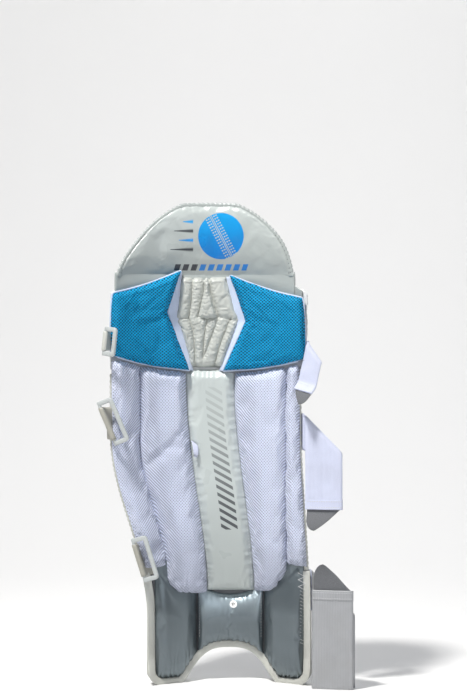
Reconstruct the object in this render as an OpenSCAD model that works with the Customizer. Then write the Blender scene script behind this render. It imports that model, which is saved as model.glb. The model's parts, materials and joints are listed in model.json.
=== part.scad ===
// Batting leg pad for the left leg, standing on its two feet with its padded inside facing -Y.
// X runs across the pad, +Y points at the bowler and +Z is up. Units are millimetres.

/* [Pad] */
// Height of the top of the flap above the floor
pad_height = 700; // [696:1:704]
// Height of the seam between the shin and the knee section
shin_top = 455; // [453:1:457]
// Height of the seam between the knee section and the top flap
knee_top = 590; // [588:1:592]
// Half the width of the knee section
knee_half = 142; // [139:1:143]
// Half the width of the pad at the floor
ankle_half = 116; // [113:1:117]
// How far the ankle stands to the right of the knee
ankle_shift = 30; // [28:1:31]
// Radius of the pad's curve at the ankle
ankle_radius = 162; // [160:1:166]
// Radius of the pad's curve from the knee upwards
knee_radius = 200; // [198:1:204]

/* [Foot arch] */
// Height of the arch over the boot
arch_height = 50; // [46:1:54]
// Half the width of the arch at the floor
arch_half = 73; // [70:1:76]
// Radius of the pad's two lower corners
corner_radius = 20; // [14:1:21]

/* [Padding] */
// Height of the front rolls off the backing
roll_height = 21; // [18:1:22]
// Height of the knee rolls off the backing
knee_roll_height = 25; // [22:1:26]
// Height of the mesh bolsters inside the shin
bolster_height = 19; // [16:1:20]
// Height of the knee wings
wing_height = 23; // [20:1:24]
// Height of the silver ankle pads
ankle_pad_height = 17; // [14:1:18]
// Thickness of covers
cover = 1.2; // [1.0:0.1:1.4]

/* [Straps and buckles] */
// Width of the ankle strap
ankle_strap_w = 60; // [58:1:62]
// Width of the calf strap
calf_strap_w = 54; // [52:1:56]
// Width of the knee strap
knee_strap_w = 30; // [28:1:32]
// Thickness of the straps
strap_thick = 2; // [1.8:0.1:2.2]
// Radius of a buckle's hinge bar
bar_r = 2.4; // [2.2:0.1:2.6]

/* [Hidden] */
$fn = 32;
frame_x = -28.8;   // the origin is below the middle of the whole pad, straps and buckles included
frame_y = 35.6;
backing = 1.5;     // half the thickness of the backing boards
base = 2.4;        // where inside padding starts, measured from the middle of the backing
inset = 9;         // width of the edge that the binding holds
gap = 0.5;         // room between a foam core and its cover
snug = 0.15;       // the same on the front, where the cover is stretched over its rolls
foam_back = 0.9;   // room between the front rolls' foam and the board behind them
lean_low = 100;    // the shin leans over between these two heights
lean_high = 365;
knee_mid = -1;
roll_count = 7;    // rolls down the front of the shin

// ---- the pad's curved surface ----
function clamp(t) = min(1, max(0, t));
function smooth(a, b, t) = let (s = clamp((t - a) / (b - a))) s * s * (3 - 2 * s);
function mix(a, b, t) = a + (b - a) * t;
function unit(v) = v / norm(v);

function mid_at(z) = mix(ankle_shift - 1, knee_mid, smooth(lean_low, lean_high, z));
function radius_at(z) = mix(ankle_radius, knee_radius, smooth(80, 400, z));
function left_edge(z) = mix(mid_at(0) - ankle_half, knee_mid - knee_half, smooth(lean_low, lean_high, z));
function right_edge(z) = mix(mid_at(0) + ankle_half, knee_mid + knee_half - 8, smooth(lean_low + 20, lean_high + 15, z));

// A point at x across and z up, t off the middle of the backing; t is positive towards the leg.
// Padding stands out of the backing more straight forwards than square to it, so it doesn't crowd the leg.
function on_pad(x, z, t) =
    let (m = mid_at(z), r = radius_at(z), a = asin((x - m) / r), b = a * (t > 0 ? 0.15 : 0.5))
    [x - t * sin(b) + frame_x, r * cos(a) - t * cos(b) - r + frame_y, z];

// Height of the pad's lower edge at x: the arch in the middle and a rounded corner at each side.
function lower_edge(x) =
    let (d = max(0, min(x - left_edge(0), right_edge(0) - x)), m = abs(x - mid_at(0)))
    (d < corner_radius ? corner_radius - sqrt(pow(corner_radius, 2) - pow(corner_radius - d, 2)) : 0)
    + (m < arch_half ? arch_height * pow(1 - pow(m / arch_half, 3), 1.3) : 0);

// Where the panels start above the lower edge. The binding is wider, seen upright, where the arch is steep.
function foot_line(x) = let (slope = (lower_edge(x + 1) - lower_edge(x - 1)) / 2) lower_edge(x) + 4 + 6.3 * sqrt(1 + slope * slope);

// Crown of a padded form over 0 to 1: flat in the middle, round at both ends.
function crown(t, p = 6) = sqrt(max(0, 1 - pow(abs(2 * t - 1), p)));
function steps(a, b, n) = [for (i = [0:n]) mix(a, b, i / n)];

// ---- builders ----
// A closed solid over a grid of the pad's surface. place(u, v) gives [x, z]; low and high give t.
module patch(us, vs, place, low, high) {
    nu = len(us);
    nv = len(vs);
    points = [for (side = [low, high]) for (v = vs) for (u = us)
        let (q = place(u, v)) on_pad(q[0], q[1], side(u, v))];
    skin_faces(points, nu, nv);
}

// Joins two layers of nu by nv points into one closed solid.
module skin_faces(points, nu, nv) {
    function at(s, i, j) = (s * nv + j) * nu + i;
    polyhedron(points, concat(
        [for (j = [0:nv - 2]) for (i = [0:nu - 2]) [at(1, i, j), at(1, i, j + 1), at(1, i + 1, j + 1), at(1, i + 1, j)]],
        [for (j = [0:nv - 2]) for (i = [0:nu - 2]) [at(0, i, j), at(0, i + 1, j), at(0, i + 1, j + 1), at(0, i, j + 1)]],
        [for (i = [0:nu - 2]) [at(1, i, 0), at(1, i + 1, 0), at(0, i + 1, 0), at(0, i, 0)]],
        [for (i = [0:nu - 2]) [at(1, i + 1, nv - 1), at(1, i, nv - 1), at(0, i, nv - 1), at(0, i + 1, nv - 1)]],
        [for (j = [0:nv - 2]) [at(1, 0, j + 1), at(1, 0, j), at(0, 0, j), at(0, 0, j + 1)]],
        [for (j = [0:nv - 2]) [at(1, nu - 1, j), at(1, nu - 1, j + 1), at(0, nu - 1, j + 1), at(0, nu - 1, j)]]));
}

// A bead that follows a path of [x, z] on the pad's surface. ring is a list of [out, t].
module bead(path, ring, front = function(p) 1, back = function(p) 1) {
    m = len(ring);
    n = len(path);
    function out(k) = let (d = unit(path[min(n - 1, k + 1)] - path[max(0, k - 1)])) [d[1], -d[0]];
    points = [for (k = [0:n - 1]) for (q = ring)
        on_pad(path[k][0] + q[0] * out(k)[0], path[k][1] + q[0] * out(k)[1],
               q[1] * (q[1] < 0 ? front(path[k]) : back(path[k])))];
    polyhedron(points, concat(
        [for (k = [0:n - 2]) for (i = [0:m - 1]) [k * m + i, (k + 1) * m + i, (k + 1) * m + (i + 1) % m, k * m + (i + 1) % m]],
        [[for (i = [0:m - 1]) i]],
        [[for (i = [0:m - 1]) (n - 1) * m + m - 1 - i]]));
}

// A sheet of the given thickness over a grid of points, grid[row][column].
module ribbon(grid, thick) {
    nv = len(grid);
    nu = len(grid[0]);
    function along(i, j) = grid[min(nv - 1, j + 1)][i] - grid[max(0, j - 1)][i];
    function across(i, j) = grid[j][min(nu - 1, i + 1)] - grid[j][max(0, i - 1)];
    function face(i, j) = unit(cross(across(i, j), along(i, j)));
    skin_faces([for (s = [-0.5, 0.5]) for (j = [0:nv - 1]) for (i = [0:nu - 1])
        grid[j][i] + face(i, j) * thick * s], nu, nv);
}

// ---- shin: front rolls, their cover and the backing ----
flange = 0.085;    // share of the width at each side where the front cover lies flat
function shin_x(u, z) = mix(left_edge(z) + inset, right_edge(z) - inset, u);
function shin_foot(u) = foot_line(shin_x(u, 0));
function shin_place(u, v) = let (z = mix(shin_foot(u), shin_top - 3, v)) [shin_x(u, z), z];
function roll_u(k, f) = mix(flange, 1 - flange, (k + f) / roll_count);
function end_round(v) = min(1, pow(clamp(v / 0.05), 0.4)) * min(1, pow(clamp((1 - v) / 0.04), 0.5));
function roll_rise(u, v) =
    let (s = (u - flange) / (1 - 2 * flange) * roll_count)
    (s <= 0 || s >= roll_count ? 0 : roll_height * pow(abs(sin(180 * s)), 0.6)
        * (1 - 0.25 * pow(abs(2 * s / roll_count - 1), 3))) * end_round(v);
roll_vs = [0, 0.004, 0.02, 0.05, 0.2, 0.35, 0.5, 0.65, 0.8, 0.96, 0.99, 1];
roll_fs = [0.06, 0.16, 0.32, 0.5, 0.68, 0.84, 0.94];

module shin_front_cover()
    color("whitesmoke") patch(
        concat([0, flange * 0.6], [for (k = [0:roll_count - 1]) for (f = [0, 0.06, 0.16, 0.32, 0.5, 0.68, 0.84, 0.94]) roll_u(k, f)],
            [1 - flange, 1 - flange * 0.6, 1]),
        roll_vs, function(u, v) shin_place(u, v),
        function(u, v) -backing - gap - cover - roll_rise(u, v), function(u, v) -backing - gap - roll_rise(u, v));

module shin_roll(k)
    color("burlywood") patch([for (f = roll_fs) roll_u(k, f)], [0.02, 0.05, 0.2, 0.35, 0.5, 0.65, 0.8, 0.96],
        function(u, v) shin_place(u, v),
        function(u, v) -backing - max(1.6, roll_rise(u, v) + gap - snug), function(u, v) -backing - foam_back);

module shin_backing()
    color("lightgray") patch(steps(0, 1, 22), [0, 0.02, 0.05, 0.2, 0.35, 0.5, 0.65, 0.8, 0.96, 1],
        function(u, v) shin_place(u, v), function(u, v) -backing, function(u, v) backing);

// ---- shin: inside bolsters ----
// A bolster runs between two lines, each a function of z, from z0 to z1.
function between(left, right, z0, z1) = function(u, v) let (z = mix(z0, z1, v)) [mix(left(z), right(z), u), z];
bolster_us = [0, 0.05, 0.15, 0.32, 0.5, 0.68, 0.85, 0.95, 1];
bolster_vs = [0, 0.015, 0.05, 0.12, 0.21, 0.3, 0.4, 0.5, 0.6, 0.7, 0.88, 0.95, 0.985, 1];
function bolster_rise(u, v, h) = h * crown(u, 4) * min(1, pow(clamp(min(v, 1 - v) / 0.1), 0.5));

module bolster_cover(place, h)
    patch(bolster_us, bolster_vs, place,
        function(u, v) base + bolster_rise(u, v, h), function(u, v) base + cover + bolster_rise(u, v, h));

module bolster_core(place, h)
    patch([0.05, 0.15, 0.32, 0.5, 0.68, 0.85, 0.95], [for (k = [1:len(bolster_vs) - 2]) bolster_vs[k]], place,
        function(u, v) base + 0.2, function(u, v) base + bolster_rise(u, v, h) - gap);

strip_half = 33;
function strip_left(z) = mix(29, -2, smooth(120, 440, z)) - strip_half;
function strip_right(z) = mix(33, 4, smooth(120, 440, z)) + strip_half;
function left_groove(z) = mix(-62, -99, smooth(150, 360, z));
function right_groove(z) = mix(113, 116, smooth(150, 300, z));
outer_left = between(function(z) left_edge(z) + 2, function(z) left_groove(z) - 1, 171, shin_top - 2);
inner_left = between(function(z) left_groove(z) + 1, function(z) strip_left(z) - 1, 136, shin_top - 8);
inner_right = between(function(z) strip_right(z) + 1, function(z) right_groove(z) - 1, 139, shin_top - 12);
outer_right = between(function(z) right_groove(z) + 1, function(z) right_edge(z) - 2, 173, shin_top - 6);

module outer_left_bolster() color("lavender") bolster_cover(outer_left, bolster_height - 3);
module inner_left_bolster() color("lavender") bolster_cover(inner_left, bolster_height);
module inner_right_bolster() color("lavender") bolster_cover(inner_right, bolster_height);
module outer_right_bolster() color("lavender") bolster_cover(outer_right, bolster_height - 3);
module bolster_foams() color("khaki") {
    bolster_core(outer_left, bolster_height - 3);
    bolster_core(inner_left, bolster_height);
    bolster_core(inner_right, bolster_height);
    bolster_core(outer_right, bolster_height - 3);
}

strip = between(function(z) strip_left(z), function(z) strip_right(z), 142, shin_top - 11);
strip_height = 11;
module shin_centre_pad() color("gainsboro") bolster_cover(strip, strip_height);
module shin_centre_foam() color("khaki") bolster_core(strip, strip_height);

// ---- ankle: two side pads and the instep panel over the arch ----
seam_left = -17;   // seams between the instep panel and the ankle pads
seam_right = 83;
ankle_pad_top = 168;
function ankle_place(x0, x1) =
    function(u, v) let (x = mix(x0, x1, u)) [x, mix(foot_line(x), ankle_pad_top, v)];
left_ankle = ankle_place(left_edge(0) + inset + 1, seam_left - 0.6);
right_ankle = ankle_place(seam_right + 0.6, right_edge(0) - inset - 1);
instep = function(u, v) let (x = mix(seam_left, seam_right, u)) [x, mix(foot_line(x), 126, v)];
// Pads end under the bolsters, so they thin out towards the top.
function ankle_rise(u, v) = ankle_pad_height * crown(u, 4) * min(1, pow(clamp(v / 0.1), 0.4)) * (1 - smooth(0.62, 0.76, v));
ankle_vs = [0, 0.02, 0.06, 0.12, 0.3, 0.5, 0.62, 0.69, 0.76];

module ankle_pad(place)
    color("silver") patch(bolster_us, ankle_vs, place,
        function(u, v) base + ankle_rise(u, v), function(u, v) base + cover + ankle_rise(u, v));
module left_ankle_pad() ankle_pad(left_ankle);
module right_ankle_pad() ankle_pad(right_ankle);
module ankle_foams() color("khaki") for (place = [left_ankle, right_ankle])
    patch([0.05, 0.15, 0.32, 0.5, 0.68, 0.85, 0.95], [0.02, 0.06, 0.12, 0.3, 0.5, 0.62], place,
        function(u, v) base, function(u, v) base + ankle_rise(u, v) - gap);

instep_height = 6;
function instep_rise(u, v) = instep_height * crown(u, 4) * crown(v, 6);
module instep_panel() color("silver") patch(steps(0, 1, 14), steps(0, 1, 6), instep,
    function(u, v) base + instep_rise(u, v), function(u, v) base + cover + instep_rise(u, v));
module instep_foam() color("khaki") patch(steps(0.07, 0.93, 12), steps(0.16, 0.84, 4), instep,
    function(u, v) base, function(u, v) base + instep_rise(u, v) - gap);

label_x = 38;
label_z = 113;
label_r = 6.3;
module size_label() color("white")
    translate(on_pad(label_x, label_z, base + cover + instep_height + 0.3)) rotate([90, 0, 0])
        cylinder(r = label_r, h = 0.5);

// ---- binding round the edge ----
binding_w = 8;
side_ring = [[0, -5], [3.4, -3.6], [4, -1], [3.4, 1.6], [0, 2], [-4, 1.8], [-4, -4.6]];
foot_ring = [[-4, 1], [0, 1], [2.6, 0.96], [4, 0.8], [4, -0.8], [2.6, -0.96], [0, -1], [-4, -1]];
// The lower outline, from the left side round both feet and over the arch to the right side.
rim = binding_w / 2;
foot_path = concat(
    [for (z = [165, 120, 80, 50, 30]) [left_edge(z) + rim, z]],
    [for (a = [180:15:270]) [left_edge(0) + corner_radius + (corner_radius - rim) * cos(a), corner_radius + (corner_radius - rim) * sin(a)]],
    [for (x = steps(left_edge(0) + corner_radius + 3, right_edge(0) - corner_radius - 3, 32)) [x, lower_edge(x) + rim]],
    [for (a = [270:15:360]) [right_edge(0) - corner_radius + (corner_radius - rim) * cos(a), corner_radius + (corner_radius - rim) * sin(a)]],
    [for (z = [30, 50, 80, 120, 165]) [right_edge(z) - rim, z]]);
// Thick under the two feet and thin elsewhere.
function foot_depth(p) = let (m = abs(p[0] - mid_at(0))) smooth(46, 66, m) * (1 - smooth(14, 44, p[1]));

module foot_binding() color("linen") bead([for (k = [len(foot_path) - 1:-1:0]) foot_path[k]], foot_ring,
    function(p) mix(5, 17, foot_depth(p)), function(p) mix(5, 15, foot_depth(p)));
module left_side_binding() color("linen")
    bead([for (z = steps(shin_top - 3, 166.5, 10)) [left_edge(z) + rim, z]], [for (q = side_ring) [-q[0], q[1]]]);
module right_side_binding() color("linen")
    bead([for (z = steps(166.5, shin_top - 3, 10)) [right_edge(z) - rim, z]], [for (q = side_ring) [-q[0], q[1]]]);

// ---- knee section ----
knee_left = knee_mid - knee_half + 2;
knee_right = knee_mid + knee_half - 1;
corner_drop = 20;  // the top corners of the knee section are cut down by this much
function knee_roof(u) = -corner_drop * pow(abs(2 * u - 1), 6);
function knee_place(z0, z1, top = true) = function(u, v)
    [mix(knee_left, knee_right, u), mix(z0, z1 + (top ? knee_roof(u) : 0), v)];
knee_low = shin_top + 4;
knee_high = knee_top - 2;
roll_pitch = (knee_high - knee_low) / 3;
function knee_rise(u, v) = knee_roll_height * crown(v, 2.6) * min(1, pow(clamp(min(u, 1 - u) / 0.1), 0.5));

module knee_backing() color("lightgray")
    patch(steps(0, 1, 18), steps(0, 1, 4), knee_place(knee_low, knee_high), function(u, v) -backing, function(u, v) backing);
module knee_roll(k) color("whitesmoke")
    patch([0, 0.01, 0.04, 0.1, 0.2, 0.3, 0.4, 0.5, 0.6, 0.7, 0.8, 0.9, 0.96, 0.99, 1],
        [0, 0.04, 0.14, 0.3, 0.5, 0.7, 0.86, 0.96, 1],
        knee_place(knee_low + k * roll_pitch + 0.4, knee_low + (k + 1) * roll_pitch - 0.4, k == 2),
        function(u, v) -backing - gap - cover - knee_rise(u, v), function(u, v) -backing - gap - knee_rise(u, v));
module knee_roll_lower() knee_roll(0);
module knee_roll_middle() knee_roll(1);
module knee_roll_upper() knee_roll(2);
module knee_roll_foams() color("khaki") for (k = [0:2])
    patch([0.04, 0.1, 0.2, 0.3, 0.4, 0.5, 0.6, 0.7, 0.8, 0.9, 0.96], [0.04, 0.14, 0.3, 0.5, 0.7, 0.86, 0.96],
        knee_place(knee_low + k * roll_pitch + 0.4, knee_low + (k + 1) * roll_pitch - 0.4, k == 2),
        function(u, v) -backing - max(1.6, knee_rise(u, v) + gap - snug), function(u, v) -backing - foam_back);

// A knee wing: side is -1 for the left one and 1 for the right one. u runs outwards from the chevron.
chevron = 0.54;    // share of the wing's height where its inner edge is notched furthest
wing_drop = 6;     // the right wing sits this much lower
function wing_in(v) = v < chevron ? mix(29, 57, v / chevron) : mix(57, 36, (v - chevron) / (1 - chevron));
function wing_out(v) = knee_half - 1 - 3 * pow(abs(2 * v - 1), 4);
function wing_z(u, v) = mix(mix(459, 479, pow(u, 0.7)), mix(597, 568, pow(u, 1.7)), v);
function wing_place(side) = function(u, v)
    [knee_mid + side * mix(wing_in(v), wing_out(v), u), wing_z(u, v) - (side > 0 ? wing_drop : 0)];
function wing_rise(u, v) = mix(wing_height, wing_height - 6, u) * min(1, pow(clamp(min(u + 0.03, 1 - u) / 0.12), 0.5))
    * min(1, pow(clamp(min(v + 0.01, 1 - v) / 0.1), 0.5));
wing_us = [0, 0.02, 0.06, 0.12, 0.25, 0.4, 0.55, 0.7, 0.82, 0.9, 0.96, 1];
wing_vs = [0, 0.03, 0.1, 0.25, 0.4, chevron, 0.7, 0.85, 0.94, 0.98, 1];
wing_floor = base + 3;
function flipped(list, side) = side > 0 ? list : [for (i = [len(list) - 1:-1:0]) list[i]];

module knee_wing(side) color("steelblue") patch(flipped(wing_us, side), wing_vs, wing_place(side),
    function(u, v) wing_floor + wing_rise(u, v), function(u, v) wing_floor + cover + wing_rise(u, v));
module left_knee_wing() knee_wing(-1);
module right_knee_wing() knee_wing(1);
module wing_foams() color("khaki") for (side = [-1, 1])
    patch(flipped([0.02, 0.06, 0.12, 0.25, 0.4, 0.55, 0.7, 0.82, 0.9, 0.96], side),
        [0.03, 0.1, 0.25, 0.4, chevron, 0.7, 0.85, 0.94], wing_place(side),
        function(u, v) wing_floor, function(u, v) wing_floor + wing_rise(u, v) - gap);

// The pale strip that slopes from a wing's notched edge down to the knee cup.
module wing_trim(side) color("lavender")
    patch(flipped([0, 0.5, 1], side), [0.04, 0.2, 0.4, chevron, 0.7, 0.85, 0.96],
        function(u, v) [knee_mid + side * (wing_in(v) - mix(10, 1, u)), wing_z(0, v) - (side > 0 ? wing_drop : 0)],
        function(u, v) base, function(u, v) base + mix(4, 14, u));
module left_wing_trim() wing_trim(-1);
module right_wing_trim() wing_trim(1);

// The grey welt under a wing.
module wing_welt(side) color("darkgray")
    patch(flipped([0.04, 0.2, 0.4, 0.6, 0.8, 0.98], side), [0, 0.5, 1],
        function(u, v) let (q = wing_place(side)(u, 0)) [q[0], q[1] - mix(6, 0.6, v)],
        function(u, v) base + 0.4, function(u, v) base + mix(5, 11, v));
module left_wing_welt() wing_welt(-1);
module right_wing_welt() wing_welt(1);

cup_height = 8;
function cup_x(v) = v < 0.54 ? mix(20, 44.5, v / 0.54) : mix(44.5, 25, (v - 0.54) / 0.46);
cup = function(u, v) [mix(-cup_x(v), cup_x(v), u) - 1, mix(463, knee_high - 3, v)];
function cup_rise(u, v) = cup_height * crown(u, 4) * crown(v, 8);
module knee_cup() color("ivory") patch(steps(0, 1, 8), [0, 0.04, 0.15, 0.35, 0.54, 0.75, 0.9, 0.97, 1], cup,
    function(u, v) base + cup_rise(u, v), function(u, v) base + cover + cup_rise(u, v));
module knee_cup_foam() color("khaki") patch(steps(0.125, 0.875, 6), [0.04, 0.15, 0.35, 0.54, 0.75, 0.9, 0.97], cup,
    function(u, v) base, function(u, v) base + cup_rise(u, v) - gap);

// ---- top flap ----
flap_low = knee_top + 2;
flap_half = 130;
function flap_x(z) = flap_half * sqrt(max(0, 1 - pow((z - 583) / (pad_height - 579), 1.6)));
function flap_place(edge) = function(u, v) let (z = mix(flap_low, pad_height - edge, v))
    [mix(-1, 1, u) * max(4, flap_x(z + edge * 0.2) - edge) - 2, z];
flap_us = [0, 0.03, 0.08, 0.2, 0.35, 0.5, 0.65, 0.8, 0.92, 0.97, 1];
flap_vs = [0, 0.03, 0.1, 0.25, 0.4, 0.55, 0.7, 0.82, 0.92, 0.97, 1];
function flap_rise(u, v, h) = h * crown(u, 6) * min(1, pow(clamp(min(v, 1 - v) / 0.12), 0.5));

// The lining stays flat near the seam, where the knee wings stand in front of it.
function lining_rise(u, v) = 4 * crown(u, 6) * smooth(0, 0.3, v) * min(1, pow(clamp((1 - v) / 0.12), 0.5));
module top_flap_foam() color("khaki") patch([0.03, 0.08, 0.2, 0.35, 0.5, 0.65, 0.8, 0.92, 0.97],
    [0.03, 0.1, 0.25, 0.4, 0.55, 0.7, 0.82, 0.92, 0.97], flap_place(8),
    function(u, v) -1 - flap_rise(u, v, 12), function(u, v) -1 + lining_rise(u, v));
module top_flap_front() color("whitesmoke") patch(flap_us, flap_vs, flap_place(8),
    function(u, v) -1.5 - cover - flap_rise(u, v, 12), function(u, v) -1.5 - flap_rise(u, v, 12));
module top_flap_lining() color("gainsboro") patch(flap_us, flap_vs, flap_place(8),
    function(u, v) -0.5 + lining_rise(u, v), function(u, v) -0.5 + cover + lining_rise(u, v));
flap_rim = concat([for (a = [0:0.1:0.9]) let (z = mix(flap_low, pad_height - 4, pow(sin(90 * a), 1.1))) [flap_x(z) - 5, z]],
    [for (f = [0.8, 0.4, 0, -0.4, -0.8]) [f * (flap_x(pad_height) - 5), pad_height - 4]],
    [for (a = [0.9:-0.1:0]) let (z = mix(flap_low, pad_height - 4, pow(sin(90 * a), 1.1))) [-flap_x(z) + 5, z]]);
module top_flap_binding() color("linen")
    bead([for (p = flap_rim) p - [2, 0]], [[-2.6, 2], [0, 3], [3, 1.8], [4, -0.6], [3, -3], [0, -4.4], [-2.6, -3.4]]);

// ---- buckles and their tabs ----
// Each row is [height of the bar's middle, how far it stands outside the edge, lean of the bar, ring length, tab width].
knee_buckle_at = [500, 4, -6, 42, 28];
calf_buckle_at = [381, 1, 23, 68, 50];
ankle_buckle_at = [183, -1, 17, 66, 48];
ring_width = 22;
ring_bar = 5;
ring_thick = 4;
tube_wall = 1.5;
tube_play = 0.1;

function side_x(z) = z > shin_top ? knee_left - 2 : left_edge(z);
function bar_middle(b) = on_pad(side_x(b[0]), b[0], 6) + [-b[1] - 3, -9, 0];
function bar_direction(b) = [sin(b[2]), 0, -cos(b[2])];

// Local frame of a buckle: z along the bar, x out over the padding, turned 14 degrees to lie on it.
module at_buckle(b) translate(bar_middle(b)) rotate([0, -b[2], 0]) rotate([0, 0, -14]) children();

module buckle(b) color("silver") at_buckle(b) {
    half = b[3] / 2;
    difference() {
        translate([0, 0, -half]) linear_extrude(b[3]) translate([0, -ring_thick / 2]) square([ring_width, ring_thick]);
        translate([-1, -ring_thick, -half + ring_bar]) cube([ring_width - ring_bar + 1, 2 * ring_thick, b[3] - 2 * ring_bar]);
        for (s = [-1, 1]) translate([ring_width, 0, s * half]) rotate([90, 45, 0]) cube([5, 5, 2 * ring_thick], center = true);
    }
    translate([0, 0, -half]) cylinder(r = bar_r, h = b[3]);
}

module buckle_tab(b) color("tan") {
    at_buckle(b) translate([0, 0, -b[4] / 2]) difference() {
        cylinder(r = bar_r + tube_play + tube_wall, h = b[4]);
        translate([0, 0, -1]) cylinder(r = bar_r + tube_play, h = b[4] + 2);
    }
    start = bar_r + tube_play + tube_wall / 2;
    // On the knee the tab ends beside the rolls. On the shin it goes round the binding to the front.
    ribbon([for (k = [-0.5, 0.5])
        let (m = bar_middle(b) - bar_direction(b) * b[4] * k, z = m[2], e = side_x(z))
        concat([m + [-0.5, 0.9, 0] * start, m + [-2.5, 5.5, 0]],
            z > shin_top ? [on_pad(e - 3.2, z, 0), on_pad(e - 2.2, z, -5), on_pad(e - 0.4, z, -10)]
            : [on_pad(e - 3.5, z, 1), on_pad(e - 2, z, -6.5), on_pad(e + 6, z, -7.2), on_pad(e + 16, z, -6.6)])], 1.4);
}
module knee_buckle() buckle(knee_buckle_at);
module calf_buckle() buckle(calf_buckle_at);
module ankle_buckle() buckle(ankle_buckle_at);
module knee_buckle_tab() buckle_tab(knee_buckle_at);
module calf_buckle_tab() buckle_tab(calf_buckle_at);
module ankle_buckle_tab() buckle_tab(ankle_buckle_at);

// ---- straps ----
// Each row is [middle height, width, crease angle, fold radius, length to the second bend,
//              second bend's radius, its turn, length to the hem, length of the tab,
//              angle towards the leg at which the strap leaves the edge].
knee_strap_at = [485, knee_strap_w, 57, 4, 56, 14, 50, 74, 34, 30];
calf_strap_at = [368, calf_strap_w, 45, 4.5, 134, 24, 30, 140, 46, 10];
ankle_strap_at = [138, ankle_strap_w, 45, 5, 165, 11, 180, 334, 40, 10];

function strap_edge(z) = z > shin_top ? knee_right : right_edge(z);
function strap_hinge(a) = on_pad(strap_edge(a[0]) + 4, a[0], 0);
function crease_at(a) = a[1] / 2 / tan(a[2]) + 2;

// Where a point s along and c up the flat strap lies after the crease: [out, up, towards the leg].
function creased(a, s, c) =
    let (g = a[2], r = a[3], p = crease_at(a),
         q = (s - p) * sin(g) + c * cos(g), l = (s - p) * cos(g) - c * sin(g), turn = min(180, max(0, q / r * 180 / PI)),
         back = q <= 0 ? q : q < PI * r ? r * sin(turn) : PI * r - q)
    [p + l * cos(g) + back * sin(g), a[0] - l * sin(g) + back * cos(g), r * (1 - cos(turn))];
// The same after the second bend, which starts at length a[4].
function bent(a, s, c) =
    let (over = max(0, s - a[4]), r = a[5], full = a[6] * PI / 180 * r, arc = min(over, full),
         turn = arc / r * 180 / PI, rest = over - arc, g = 2 * a[2],
         ahead = r * sin(turn) + rest * cos(turn), rise = r * (1 - cos(turn)) + rest * sin(turn))
    creased(a, min(s, a[4]), c) + [ahead * cos(g), -ahead * sin(g), rise];
function strap_point(a, s, c) =
    let (q = bent(a, s, c), h = strap_hinge(a), g = a[9])
    [h[0] + q[0] * cos(g) - q[2] * sin(g), h[1] - q[0] * sin(g) - q[2] * cos(g), q[1]];

across = [-0.5, -0.25, 0, 0.25, 0.5];
function crease_row(a, q) = [for (f = across) let (c = f * a[1]) [crease_at(a) + (q - c * cos(a[2])) / sin(a[2]), c]];
function straight_row(a, s, w) = [for (f = across) [s, f * w]];
function strap_rows(a) = concat(
    [straight_row(a, 0, a[1])],
    [for (f = [0:0.2:1]) crease_row(a, PI * a[3] * f)],
    [for (f = [0:0.125:1]) straight_row(a, a[4] + f * min(a[7] - a[4], a[6] * PI / 180 * a[5]), a[1])],
    a[7] - a[4] > a[6] * PI / 180 * a[5] + 1 ? [straight_row(a, a[7], a[1])] : []);

module strap(a) color("lavender")
    ribbon([for (row = strap_rows(a)) [for (q = row) strap_point(a, q[0], q[1])]], strap_thick);
// The hook tab is sewn on the leg side of the strap's end and has a round end of its own.
module strap_tab(a) {
    w = a[1] * 0.8;
    straight = a[8] - w / 3;
    lift = strap_thick / 2 + 1.2;
    rows = concat([-8, -5, -2, 1, 5, 9], steps(13, straight, 2), [for (t = [30, 55, 72, 84]) straight + w / 3 * sin(t)]);
    function half_width(s) = s <= straight ? w / 2 : max(3, w / 2 * sqrt(1 - pow((s - straight) / (w / 3), 2)));
    color("white") ribbon([for (s = rows) [for (f = across)
        let (q = [a[7] + s, f * 2 * half_width(s)], p = strap_point(a, q[0], q[1]),
             n = cross(strap_point(a, q[0] + 0.5, q[1]) - strap_point(a, q[0] - 0.5, q[1]),
                       strap_point(a, q[0], q[1] + 0.5) - strap_point(a, q[0], q[1] - 0.5)))
        p + unit(n) * lift]], 1.6);
}
module knee_strap() strap(knee_strap_at);
module calf_strap() strap(calf_strap_at);
module ankle_strap() strap(ankle_strap_at);
module knee_strap_tab() strap_tab(knee_strap_at);
module calf_strap_tab() strap_tab(calf_strap_at);
module ankle_strap_tab() strap_tab(ankle_strap_at);

// The stitched patch on the front of the pad that holds a strap's end.
// On the knee it is sewn beside the rolls.
module strap_anchor(a) color("whitesmoke") ribbon([for (k = [-0.5, 0.5])
    let (z = a[0] - a[1] * k * 0.98, e = strap_edge(z))
    z > shin_top ? [on_pad(e + 1.6, z, -9.5), on_pad(e + 2, z, -6.5), on_pad(e + 3, z, -3.6)]
    : [on_pad(e - 22, z, -6.8), on_pad(e - 10, z, -7), on_pad(e - 0.5, z, -7), on_pad(e + 3.2, z, -4.8)]], 2);
module knee_strap_anchor() strap_anchor(knee_strap_at);
module calf_strap_anchor() strap_anchor(calf_strap_at);
module ankle_strap_anchor() strap_anchor(ankle_strap_at);

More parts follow.
